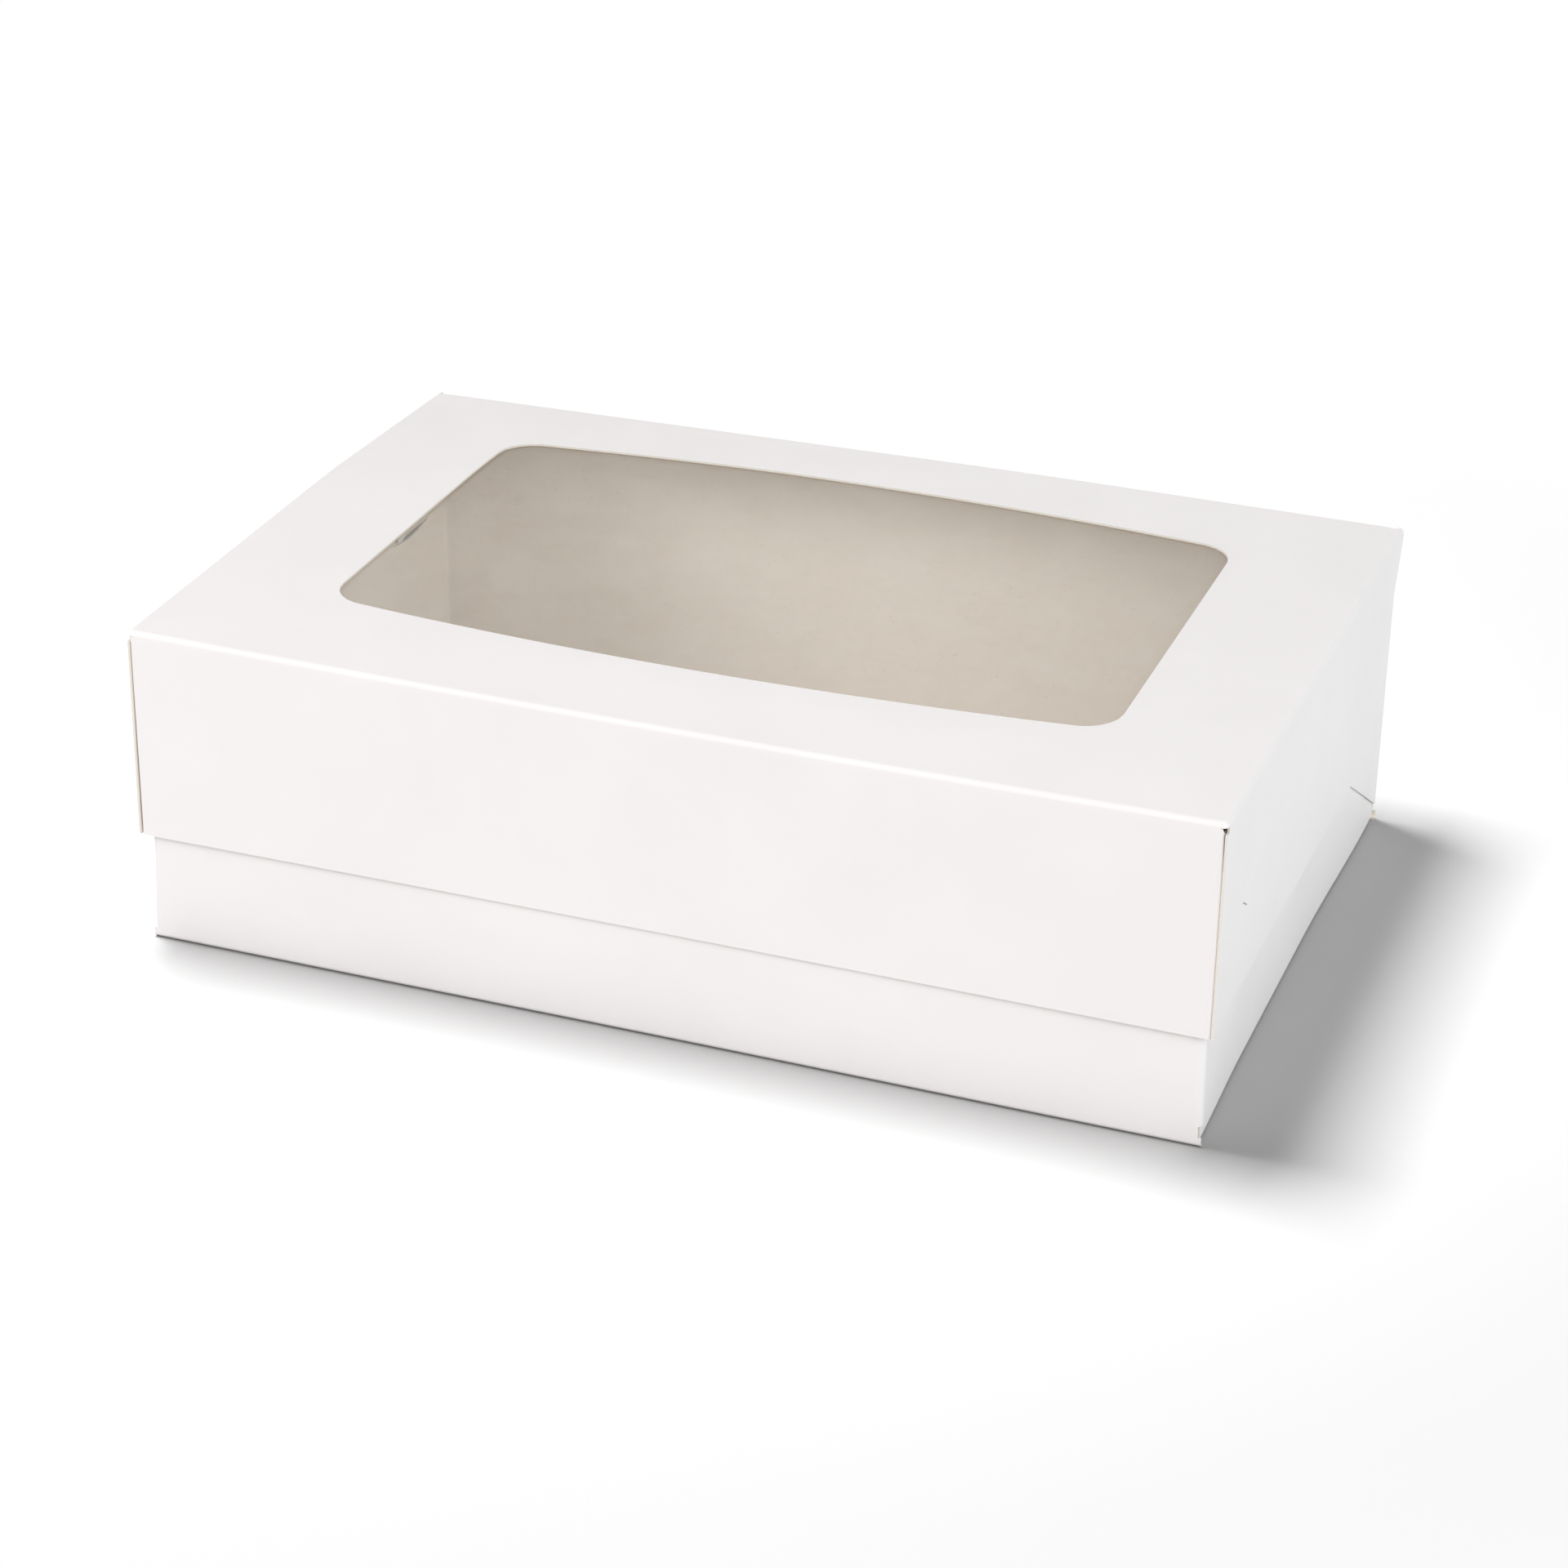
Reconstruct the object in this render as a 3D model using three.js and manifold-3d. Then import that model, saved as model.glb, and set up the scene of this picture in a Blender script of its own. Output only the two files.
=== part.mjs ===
// Window bakery box for cupcakes, folded from one sheet of carton.
// Millimetres, +Z up, +X along the long front, -Y towards the front.
// Origin: centre of the closed box's footprint, on the surface that it stands on.
//
// The tray has a bottom and four walls. Ears on its front and back walls wrap round the
// corners, lie outside the side walls and lock in a slit there with a tongue each.
// The lid hangs on a crease along the back wall's top edge. It has a window with a clear film,
// a front flap and two side skirts, which all close outside the tray. The flap's ears wrap
// round inside the skirts and catch in a small slit in each.
import * as THREE from 'three';
import { mergeVertices } from 'three/addons/utils/BufferGeometryUtils.js';
import Module from 'manifold-3d';

const wasm = await Module();
wasm.setup();

// Carton and folds
const BOARD = 0.5; // thickness of the carton
const FOLD_RADIUS = 1; // outer radius of every fold
const FOLD_LIP = 1; // flat stretch past a fold that belongs to the folded panel
const CREASE_GAP = 0.3; // between two panels that meet along a crease
const LAYER_GAP = 0.2; // between two boards that lie on each other
const FOLD_STEPS = 6; // segments of a fold's quarter circle
const WELD = 1e-5; // vertices closer than this are one

// Closed box, outside
const LID_LENGTH = 240; // across the two skirts
const LID_DEPTH = 158; // from the flap's face to the back wall's face
const BOX_HEIGHT = 74; // from the table to the lid's top
const FLAP_DEPTH = 49; // from the lid's top to the lower edge of flap and skirts

// Fit of the lid on the tray
const SIDE_PLAY = 0.5; // between the lid's ears and the tray's ears
const FRONT_PLAY = 0.6; // between the flap and the tray's front wall
const RIM_PLAY = 0.3; // between the lid's underside and the rims of the walls

// Skirts
const SKIRT_HINGE_DEPTH = 3; // depth left at the hinge, where the skirt is cut away
const SKIRT_TAPER = 20; // length of the slanting cut in front of the hinge
const NOTCH = 1.2; // free height of the cut below the lid's two front corners

// Window and film
const WINDOW_LENGTH = 178;
const WINDOW_DEPTH = 100.5; // at the window's two ends
const WINDOW_BOW = 4.2; // how far each long edge swells at its middle
const WINDOW_CORNER = 9; // radius of the window's corners
const WINDOW_SHIFT = 2.5; // of the window's middle towards the hinge
const WINDOW_STEPS = 24; // segments of a bowed long edge
const FILM = 0.2; // thickness of the film
const FILM_MARGIN = 8; // film behind the board, all round
const GLUE = 0.2; // thickness of the glue line
const GLUE_WIDTH = 5; // width of the glue line round the window
const GLUE_INSET = 1; // between the glue line and the film's edge

// Tray ears, their tongues and the slits for these
const EAR_FOOT = 4.6; // height of an ear's lower corner over the table
const EAR_HEAD = 3; // between an ear's upper corner and the rim
const EAR_END = 21; // height of an ear's free end, to which its lower edge slants up
const EAR_MARGIN = 1; // board of the ear past the slit's end
const EAR_NECK = 2; // between the ear's upper part and the slit
const EAR_SLANT = 5; // fall of the ear's upper edge
const SLIT_FROM_CORNER = 12; // from the long wall's face to the slit's near end
const SLIT_LENGTH = 21;
const SLIT_HEIGHT = 42.9; // lowest point of the slit over the table
const SLIT_SAG = 1.3; // how far the lower lip hangs through at its middle
const SLIT_STEPS = 8; // segments of the lower lip
const TONGUE_PLAY = 0.3; // over and under the tongue in its slit
const TONGUE_INSET = 1.2; // the tongue ends before its slit does, at each end
const TONGUE_RISE = 5; // how far the tongue stands up inside the wall

// Relief cuts in the tray's lower corners: a slanting one in each end of the side walls, which
// the ears hide, and a notch in each end of the long walls
const WALL_SETBACK = 4.5; // from the long wall's face to the side wall's end, behind the ear
const RELIEF_TOP = 27; // height at which the slanting cut has run out
const RELIEF_STEP = 15; // height of the step in it
const RELIEF_NARROW = 1.3; // width of the cut over the step
const RELIEF_WIDE = 3.5; // and under it
const RELIEF_COVER = 2; // between the cut's foot and the ear's lower edge
const WALL_NOTCH_FOOT = 2.1; // height of the notch's foot over the table

// Lid ears and the small slits that catch them
const CATCH_BACK = 21; // the catch's middle, behind the flap's face
const CATCH_DOWN = 28; // the catch's middle, below the lid's top
const CATCH_LENGTH = 6;
const CATCH_WIDTH = 0.9;
const CATCH_TILT = Math.PI / 4; // lean of the catch towards the front
const NIB_PLAY = 0.25; // round the ear's nib in its catch
const LID_EAR_MARGIN = 3; // board of the lid's ear past the catch
const LID_EAR_TAPER = 6; // the ear's free end is lower than its root by this, above and below

// Planes worked out from the sizes above
const lidTop = BOX_HEIGHT;
const lidUnder = lidTop - BOARD;
const lidRight = LID_LENGTH / 2;
const flapFace = -LID_DEPTH / 2;
const backFace = LID_DEPTH / 2;
const flapFoot = lidTop - FLAP_DEPTH;
const rim = lidUnder - RIM_PLAY;
const lidEarFace = lidRight - BOARD - LAYER_GAP;
const lidEarHead = lidTop - FOLD_RADIUS - NOTCH;
const earFace = lidEarFace - BOARD - SIDE_PLAY;
const sideFace = earFace - BOARD - LAYER_GAP;
const tongueFace = sideFace - BOARD - LAYER_GAP;
const frontFace = flapFace + BOARD + FRONT_PLAY;
const foldReach = FOLD_RADIUS + FOLD_LIP; // from a panel's face to the end of its lip
const creaseReach = foldReach + CREASE_GAP; // from a panel's face to its neighbour's edge
const earReach = SLIT_FROM_CORNER + SLIT_LENGTH + EAR_MARGIN;
const tongueFoot = SLIT_HEIGHT + SLIT_SAG + TONGUE_PLAY;
const tongueHead = tongueFoot + BOARD;
const earEndFoot = tongueHead - EAR_END;
const earSlope = (earEndFoot - EAR_FOOT) / (earReach - FOLD_RADIUS); // rise of its lower edge
const slitHead = tongueHead + TONGUE_PLAY;
const lidEarReach = CATCH_BACK + CATCH_LENGTH / 2 + LID_EAR_MARGIN;
const beyond = LID_LENGTH; // a cutting outline reaches this far past whatever it doesn't cut

const WHITE_BOARD = new THREE.MeshStandardMaterial({
  color: 0xf3f0ee, roughness: 0.62, metalness: 0,
});
const CREAM_GLUE = new THREE.MeshStandardMaterial({
  color: 0xe9e2cf, roughness: 0.5, metalness: 0,
});
const CLEAR_FILM = new THREE.MeshStandardMaterial({
  color: 0xf4f7f8, roughness: 0.08, metalness: 0, transparent: true, opacity: 0.18,
});

// A closed outline through the given [u, v] points
function outline(points) {
  return new THREE.Shape(points.map(([u, v]) => new THREE.Vector2(u, v)));
}

function rectangle(u0, v0, u1, v1) {
  return outline([[u0, v0], [u1, v0], [u1, v1], [u0, v1]]);
}

// Extrudes an outline between two heights of the third axis, in either order.
// Plane 'xy' reads the outline as (x, y), 'xz' as (x, z) and 'yz' as (y, z).
function prism(shape, plane, from, to) {
  const low = Math.min(from, to);
  const high = Math.max(from, to);
  const geometry = new THREE.ExtrudeGeometry(shape, { depth: high - low, bevelEnabled: false });
  if (plane === 'xz') {
    geometry.rotateX(Math.PI / 2);
    geometry.translate(0, high, 0);
  } else if (plane === 'yz') {
    const toX = new THREE.Vector3(1, 0, 0);
    const toY = new THREE.Vector3(0, 1, 0);
    const toZ = new THREE.Vector3(0, 0, 1);
    geometry.applyMatrix4(new THREE.Matrix4().makeBasis(toY, toZ, toX));
    geometry.translate(low, 0, 0);
  } else {
    geometry.translate(0, 0, low);
  }
  return geometry;
}

function toSolid(geometry) {
  const bare = geometry.clone();
  bare.deleteAttribute('normal');
  bare.deleteAttribute('uv');
  const merged = mergeVertices(bare, WELD);
  return new wasm.Manifold(new wasm.Mesh({
    numProp: 3,
    vertProperties: new Float32Array(merged.attributes.position.array),
    triVerts: new Uint32Array(merged.index.array),
  }));
}

function toGeometry(solid) {
  const mesh = solid.getMesh();
  const position = new THREE.BufferAttribute(new Float32Array(mesh.vertProperties), 3);
  const geometry = new THREE.BufferGeometry();
  geometry.setAttribute('position', position);
  geometry.setIndex(new THREE.BufferAttribute(new Uint32Array(mesh.triVerts), 1));
  geometry.computeVertexNormals();
  return geometry;
}

// A solid that is cut to an outline seen along one axis
function trim(solid, shape, plane) {
  return solid.intersect(toSolid(prism(shape, plane, -beyond, beyond)));
}

// Section of a panel with its fold, as an outline: a leg of the given length along v, and a
// quarter circle that turns into a short lip along u. The outer faces would meet at (u, v),
// and the two signs say which way lip and leg run from there.
function foldSection(leg, u, v, signU, signV) {
  const quarter = (radius) => {
    const points = [];
    for (let i = 0; i <= FOLD_STEPS; i++) {
      const turn = (i / FOLD_STEPS) * (Math.PI / 2);
      points.push([
        FOLD_RADIUS - radius * Math.cos(turn),
        FOLD_RADIUS - radius * Math.sin(turn),
      ]);
    }
    return points;
  };
  const points = [
    [0, leg],
    ...quarter(FOLD_RADIUS),
    [foldReach, 0],
    [foldReach, BOARD],
    ...quarter(FOLD_RADIUS - BOARD).reverse(),
    [BOARD, leg],
  ];
  return outline(points.map(([a, b]) => [u + signU * a, v + signV * b]));
}

// Window outline, moved outwards by `grow`: straight ends, long edges that swell as shallow
// arcs, and round corners. Target is Shape for an outline or Path for a hole.
function windowOutline(Target, grow) {
  const shape = new Target();
  const halfLength = WINDOW_LENGTH / 2 + grow;
  const halfDepth = WINDOW_DEPTH / 2 + grow;
  const radius = WINDOW_CORNER + grow;
  const run = halfLength - radius;
  const front = WINDOW_SHIFT - halfDepth + radius;
  const back = WINDOW_SHIFT + halfDepth - radius;
  const longEdge = (side) => {
    for (let i = 1; i < WINDOW_STEPS; i++) {
      const along = -1 + (2 * i) / WINDOW_STEPS;
      const swell = halfDepth + WINDOW_BOW * (1 - along ** 2);
      shape.lineTo(-side * along * run, WINDOW_SHIFT + side * swell);
    }
  };
  shape.absarc(-run, front, radius, Math.PI, Math.PI * 1.5, false);
  longEdge(-1);
  shape.absarc(run, front, radius, -Math.PI / 2, 0, false);
  shape.absarc(run, back, radius, 0, Math.PI / 2, false);
  longEdge(1);
  shape.absarc(-run, back, radius, Math.PI / 2, Math.PI, false);
  return shape;
}

// Tray: bottom and the two long walls

function bottomPanel() {
  const reach = sideFace - creaseReach;
  return prism(rectangle(-reach, frontFace + creaseReach, reach, backFace - creaseReach), 'xy', 0, BOARD);
}

// A long wall with the fold along its foot. Its lowest strip runs on to the side walls' faces,
// and above the notch it ends where the ears' folds begin.
function longWall(face, inwards) {
  const strip = toSolid(prism(foldSection(rim, face, 0, inwards, 1), 'yz', -sideFace, sideFace));
  const upper = earFace - creaseReach;
  return toGeometry(trim(strip, outline([
    [-sideFace, 0], [sideFace, 0], [sideFace, WALL_NOTCH_FOOT], [upper, WALL_NOTCH_FOOT],
    [upper, rim], [-upper, rim], [-upper, WALL_NOTCH_FOOT], [-sideFace, WALL_NOTCH_FOOT],
  ]), 'xz'));
}

// Tray: side walls with their relief cuts and lock slits

// The slit for one tongue: a straight upper lip over a lower lip that hangs through.
// `corner` is the long wall's face, and `inwards` the way from it along the side wall.
function slitOutline(corner, inwards) {
  const at = (share) => corner + inwards * (SLIT_FROM_CORNER + SLIT_LENGTH * share);
  const points = [[at(1), slitHead], [at(0), slitHead]];
  for (let i = 0; i <= SLIT_STEPS; i++) {
    const share = i / SLIT_STEPS;
    const rise = (2 * share - 1) ** 2;
    points.push([at(share), SLIT_HEIGHT + SLIT_SAG * rise]);
  }
  return outline(points);
}

// One end of a side wall, from its foot up: clear of the long wall's fold, then out to the
// corner, and cut back behind the ear. `corner` and `inwards` are as for the slit.
function wallEnd(corner, inwards) {
  const foldTop = FOLD_RADIUS + CREASE_GAP;
  const near = BOARD + LAYER_GAP;
  const wide = WALL_SETBACK + RELIEF_WIDE;
  const covered = (distance) => EAR_FOOT + RELIEF_COVER + distance * earSlope;
  const at = (distance) => corner + inwards * distance;
  return [
    [at(creaseReach), 0], [at(creaseReach), foldTop], [at(near), foldTop], [at(near), covered(near)],
    [at(wide), covered(wide)], [at(wide), RELIEF_STEP],
    [at(WALL_SETBACK + RELIEF_NARROW), RELIEF_STEP], [at(WALL_SETBACK), RELIEF_TOP],
    [at(WALL_SETBACK), rim],
  ];
}

function sideWall(side) {
  const section = foldSection(rim, side * sideFace, 0, -side, 1);
  const strip = toSolid(prism(section, 'xz', frontFace, backFace));
  const ends = [...wallEnd(frontFace, 1), ...wallEnd(backFace, -1).reverse()];
  const wall = trim(strip, outline(ends), 'yz');
  const frontSlit = toSolid(prism(slitOutline(frontFace, 1), 'yz', -beyond, beyond));
  const backSlit = toSolid(prism(slitOutline(backFace, -1), 'yz', -beyond, beyond));
  return toGeometry(wall.subtract(frontSlit).subtract(backSlit));
}

// Tray: ears that wrap round the corners and lock in the side walls

// One ear: the fold round the corner, a plate outside the side wall, a bridge through the slit
// and a rounded tongue that stands up behind the wall.
function trayEar(side, corner, inwards) {
  const at = (distance) => corner + inwards * distance;
  const section = foldSection(earReach, side * earFace, corner, -side, inwards);
  const column = toSolid(prism(section, 'xy', EAR_FOOT, rim - EAR_HEAD));
  const neck = SLIT_FROM_CORNER - EAR_NECK;
  const plate = trim(column, outline([
    [at(0), EAR_FOOT], [at(FOLD_RADIUS), EAR_FOOT],
    [at(earReach), earEndFoot], [at(earReach), tongueHead],
    [at(neck), tongueHead], [at(neck), rim - EAR_HEAD - EAR_SLANT],
    [at(FOLD_RADIUS), rim - EAR_HEAD], [at(0), rim - EAR_HEAD],
  ]), 'yz');

  const near = at(SLIT_FROM_CORNER + TONGUE_INSET);
  const far = at(SLIT_FROM_CORNER + SLIT_LENGTH - TONGUE_INSET);
  const tongueInner = side * (tongueFace - BOARD);
  const bridgeShape = rectangle(near, tongueFoot, far, tongueHead);
  const bridge = toSolid(prism(bridgeShape, 'yz', tongueInner, side * (earFace - BOARD / 2)));

  const middle = (near + far) / 2;
  const top = tongueHead + TONGUE_RISE;
  const tongueShape = new THREE.Shape();
  tongueShape.moveTo(near, tongueFoot);
  tongueShape.lineTo(far, tongueFoot);
  tongueShape.lineTo(far, tongueHead);
  tongueShape.quadraticCurveTo(far, top, middle, top);
  tongueShape.quadraticCurveTo(near, top, near, tongueHead);
  const tongue = toSolid(prism(tongueShape, 'yz', tongueInner, side * tongueFace));
  return toGeometry(plate.add(bridge).add(tongue));
}

// Lid: top panel, flap and skirts

function lidTopPanel() {
  const reach = lidRight - creaseReach;
  const shape = rectangle(-reach, flapFace + creaseReach, reach, backFace);
  shape.holes.push(windowOutline(THREE.Path, 0));
  return prism(shape, 'xy', lidUnder, lidTop);
}

// The flap's fold runs the lid's full length. Below it the flap stops at its ears' folds.
function frontFlap() {
  const section = foldSection(FLAP_DEPTH, flapFace, lidTop, 1, -1);
  const strip = toSolid(prism(section, 'yz', -lidRight, lidRight));
  const reach = lidEarFace - creaseReach;
  const shoulder = lidTop - FOLD_RADIUS;
  return toGeometry(trim(strip, outline([
    [-reach, flapFoot], [reach, flapFoot], [reach, shoulder], [lidRight, shoulder],
    [lidRight, lidTop], [-lidRight, lidTop], [-lidRight, shoulder], [-reach, shoulder],
  ]), 'xz'));
}

// A leaning slot, between two places across the box: the catch itself, or with some play the nib
function catchSlot(play, from, to) {
  const shape = rectangle(
    -CATCH_WIDTH / 2 + play, -CATCH_LENGTH / 2 + play,
    CATCH_WIDTH / 2 - play, CATCH_LENGTH / 2 - play,
  );
  const slot = prism(shape, 'yz', from, to);
  slot.rotateX(CATCH_TILT);
  slot.translate(0, flapFace + CATCH_BACK, lidTop - CATCH_DOWN);
  return toSolid(slot);
}

function sideSkirt(side) {
  const front = flapFace + CREASE_GAP;
  const behindFold = flapFace + creaseReach;
  const section = foldSection(FLAP_DEPTH, side * lidRight, lidTop, -side, -1);
  const strip = toSolid(prism(section, 'xz', front, backFace));
  const skirt = trim(strip, outline([
    [front, flapFoot], [backFace - SKIRT_TAPER, flapFoot],
    [backFace, lidTop - SKIRT_HINGE_DEPTH], [backFace, lidTop],
    [behindFold, lidTop], [behindFold, lidEarHead], [front, lidEarHead],
  ]), 'yz');
  return toGeometry(skirt.subtract(catchSlot(0, -beyond, beyond)));
}

// A lid ear lies behind its skirt, and a nib on it stands in the skirt's catch.
function lidEar(side) {
  const foot = flapFoot + CREASE_GAP;
  const section = foldSection(lidEarReach, side * lidEarFace, flapFace, -side, 1);
  const column = toSolid(prism(section, 'xy', foot, lidEarHead));
  const bend = flapFace + FOLD_RADIUS;
  const end = flapFace + lidEarReach;
  const plate = trim(column, outline([
    [flapFace, foot], [bend, foot], [end, foot + LID_EAR_TAPER],
    [end, lidEarHead - LID_EAR_TAPER], [bend, lidEarHead], [flapFace, lidEarHead],
  ]), 'yz');
  return toGeometry(plate.add(catchSlot(NIB_PLAY, side * (lidEarFace - BOARD / 2), side * lidRight)));
}

// Lid: clear film and the glue line that holds it under the window

function glueLine() {
  const outer = FILM_MARGIN - GLUE_INSET;
  const shape = windowOutline(THREE.Shape, outer);
  shape.holes.push(windowOutline(THREE.Path, outer - GLUE_WIDTH));
  return prism(shape, 'xy', lidUnder - GLUE, lidUnder);
}

function windowFilm() {
  const halfLength = WINDOW_LENGTH / 2 + FILM_MARGIN;
  const halfDepth = WINDOW_DEPTH / 2 + WINDOW_BOW + FILM_MARGIN;
  const front = WINDOW_SHIFT - halfDepth;
  const back = WINDOW_SHIFT + halfDepth;
  const top = lidUnder - GLUE;
  return prism(rectangle(-halfLength, front, halfLength, back), 'xy', top - FILM, top);
}

function addPiece(parent, name, geometry, material) {
  const mesh = new THREE.Mesh(geometry, material);
  mesh.name = name;
  parent.add(mesh);
}

const SIDES = [['left', -1], ['right', 1]];
const group = new THREE.Group();
const tray = new THREE.Group();
const lid = new THREE.Group();
group.add(tray, lid);

addPiece(tray, 'bottom_panel', bottomPanel(), WHITE_BOARD);
addPiece(tray, 'front_wall', longWall(frontFace, 1), WHITE_BOARD);
addPiece(tray, 'back_wall', longWall(backFace, -1), WHITE_BOARD);
for (const [hand, side] of SIDES) {
  addPiece(tray, `${hand}_wall`, sideWall(side), WHITE_BOARD);
  addPiece(tray, `front_${hand}_ear`, trayEar(side, frontFace, 1), WHITE_BOARD);
  addPiece(tray, `back_${hand}_ear`, trayEar(side, backFace, -1), WHITE_BOARD);
}

addPiece(lid, 'lid_top_panel', lidTopPanel(), WHITE_BOARD);
addPiece(lid, 'lid_front_flap', frontFlap(), WHITE_BOARD);
for (const [hand, side] of SIDES) {
  addPiece(lid, `lid_${hand}_skirt`, sideSkirt(side), WHITE_BOARD);
  addPiece(lid, `lid_${hand}_ear`, lidEar(side), WHITE_BOARD);
}
addPiece(lid, 'window_glue_line', glueLine(), CREAM_GLUE);
addPiece(lid, 'window_film', windowFilm(), CLEAR_FILM);

export default group;
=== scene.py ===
"""Looks of a window bakery box: white coated carton, brown liner, clear film.

Metres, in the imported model's frame: +X along the long front, -Y towards the front, +Z up.
Every board is a closed sheet whose two faces and raw edges carry their own finish, and every
fold is a real quarter round. The boards are slightly bowed by fields that a whole
sub-assembly shares, so that neighbours still meet along their creases.
"""

import logging
import math
from dataclasses import dataclass
from enum import Enum
from typing import ClassVar

import bpy
import numpy as np
from mathutils import Matrix, Vector

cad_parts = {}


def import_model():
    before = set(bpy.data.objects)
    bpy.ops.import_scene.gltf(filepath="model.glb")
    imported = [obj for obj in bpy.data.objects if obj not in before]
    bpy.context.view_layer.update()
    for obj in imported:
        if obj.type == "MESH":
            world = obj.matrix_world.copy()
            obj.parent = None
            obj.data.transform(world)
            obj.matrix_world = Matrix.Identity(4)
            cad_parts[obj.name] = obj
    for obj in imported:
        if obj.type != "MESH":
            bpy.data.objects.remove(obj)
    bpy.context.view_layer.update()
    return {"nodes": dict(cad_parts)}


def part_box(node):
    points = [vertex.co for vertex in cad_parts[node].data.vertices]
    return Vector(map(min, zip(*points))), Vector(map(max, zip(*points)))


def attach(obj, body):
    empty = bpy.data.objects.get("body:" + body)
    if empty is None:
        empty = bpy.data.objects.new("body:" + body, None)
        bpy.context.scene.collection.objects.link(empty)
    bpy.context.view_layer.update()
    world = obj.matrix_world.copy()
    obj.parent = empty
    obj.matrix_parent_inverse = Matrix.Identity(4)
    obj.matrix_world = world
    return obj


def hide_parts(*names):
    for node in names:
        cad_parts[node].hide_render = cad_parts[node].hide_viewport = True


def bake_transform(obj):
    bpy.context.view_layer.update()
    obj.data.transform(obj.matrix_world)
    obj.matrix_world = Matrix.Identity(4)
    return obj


LOG = logging.getLogger("cupcake_box")
MM = 0.001
QUARTER = math.pi / 2


class Skin(Enum):
    """The three finishes of one board, by material slot of its mesh."""

    COAT = 0
    LINER = 1
    RAW = 2


class Way(Enum):
    """Base of the box's sides and ends."""

    @property
    def word(self) -> str:
        """The way's name as the nodes use it."""
        return self.name.lower()


class Side(Way):
    """Left or right of the box, as the sign of X."""

    LEFT = -1
    RIGHT = 1


class End(Way):
    """Front or back of the box, as the sign of Y."""

    FRONT = -1
    BACK = 1


class Reach(Enum):
    """What a lamp lights."""

    ALL = "all"
    BOX = "box"
    FLOOR = "floor"


@dataclass(frozen=True)
class Plan:
    """Faces and edges of the carton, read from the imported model."""

    board: float
    lid_side: float
    lid_front: float
    lid_back: float
    lid_top: float
    flap_foot: float
    lid_ear_side: float
    lid_ear_end: float
    tray_ear_side: float
    tray_side: float
    tray_front: float
    tray_back: float
    rim: float
    ear_foot: float
    ear_head: float
    ear_reach: float

    @classmethod
    def from_frame(cls, layer_gap: float = 0.2 * MM, trim: float = 0.6 * MM) -> "Plan":
        """Reads the faces from the nodes' boxes.

        Args:
            layer_gap: Play between the skirt and the lid's ear behind it.
            trim: How much higher the lid's foot ends than the node's.

        Returns:
            The plan, in metres.
        """
        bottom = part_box("bottom_panel")
        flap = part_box("lid_front_flap")
        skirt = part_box("lid_right_skirt")
        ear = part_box("front_right_ear")
        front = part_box("front_wall")
        board = bottom[1].z - bottom[0].z
        return cls(
            board=board,
            lid_side=skirt[1].x,
            lid_front=flap[0].y,
            lid_back=skirt[1].y,
            lid_top=flap[1].z,
            flap_foot=flap[0].z + trim,
            lid_ear_side=skirt[1].x - board - layer_gap,
            lid_ear_end=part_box("lid_right_ear")[1].y,
            tray_ear_side=ear[1].x,
            tray_side=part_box("right_wall")[1].x,
            tray_front=front[0].y,
            tray_back=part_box("back_wall")[1].y,
            rim=front[1].z,
            ear_foot=ear[0].z,
            ear_head=ear[1].z,
            ear_reach=ear[1].y - ear[0].y,
        )


def smooth(value: np.ndarray, start: float, end: float) -> np.ndarray:
    """Eases from 0 at start to 1 at end: three t squared minus two t cubed.

    Args:
        value: Where to read the ease.
        start: Value at which it leaves 0.
        end: Value at which it reaches 1.

    Returns:
        The ease, from 0 to 1.
    """
    t = np.clip((value - start) / (end - start), 0.0, 1.0)
    return t * t * (3.0 - 2.0 * t)


def spaced(*stops: tuple[float, int]) -> np.ndarray:
    """Places along a line, in stretches of even steps.

    Args:
        stops: The stretches' ends, each with its number of steps. The first has 0 steps.

    Returns:
        The places, in order.
    """
    parts = [np.array([stops[0][0]])]
    for (start, _), (end, steps) in zip(stops, stops[1:]):
        parts.append(np.linspace(start, end, steps + 1)[1:])
    return np.concatenate(parts)


@dataclass(frozen=True)
class Fold:
    """A right-angled fold in a board, straight along `run`.

    The board comes in along `lip`, turns through a quarter circle and leaves along `leg`. A
    place on it is given by its distance along the crease, its distance over the outer face from
    the start of the round, and its depth under that face. With r the outer radius, w the
    distance and d the depth, the round's point is r - (r - d) sin(w / r) along the lip and
    r - (r - d) cos(w / r) along the leg.
    """

    corner: tuple[float, float, float]
    run: tuple[float, float, float]
    lip: tuple[float, float, float]
    leg: tuple[float, float, float]
    radius: float

    @property
    def arc(self) -> float:
        """Length of the round over the outer face."""
        return self.radius * QUARTER

    def points(self, along: np.ndarray, across: np.ndarray, depth: float) -> np.ndarray:
        """Places on the folded board.

        Args:
            along: Distances along the crease.
            across: Distances over the outer face, 0 where the round starts.
            depth: Depth under the outer face.

        Returns:
            Points of the same shape as the two grids, with three coordinates each.
        """
        along, across = np.broadcast_arrays(along, across)
        turn = np.clip(across / self.radius, 0.0, QUARTER)
        rest = self.radius - depth
        inwards = self.radius - rest * np.sin(turn) + np.maximum(-across, 0.0)
        onwards = self.radius - rest * np.cos(turn) + np.maximum(across - self.arc, 0.0)
        return (
            np.array(self.corner)
            + along[..., None] * np.array(self.run)
            + inwards[..., None] * np.array(self.lip)
            + onwards[..., None] * np.array(self.leg)
        )


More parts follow.
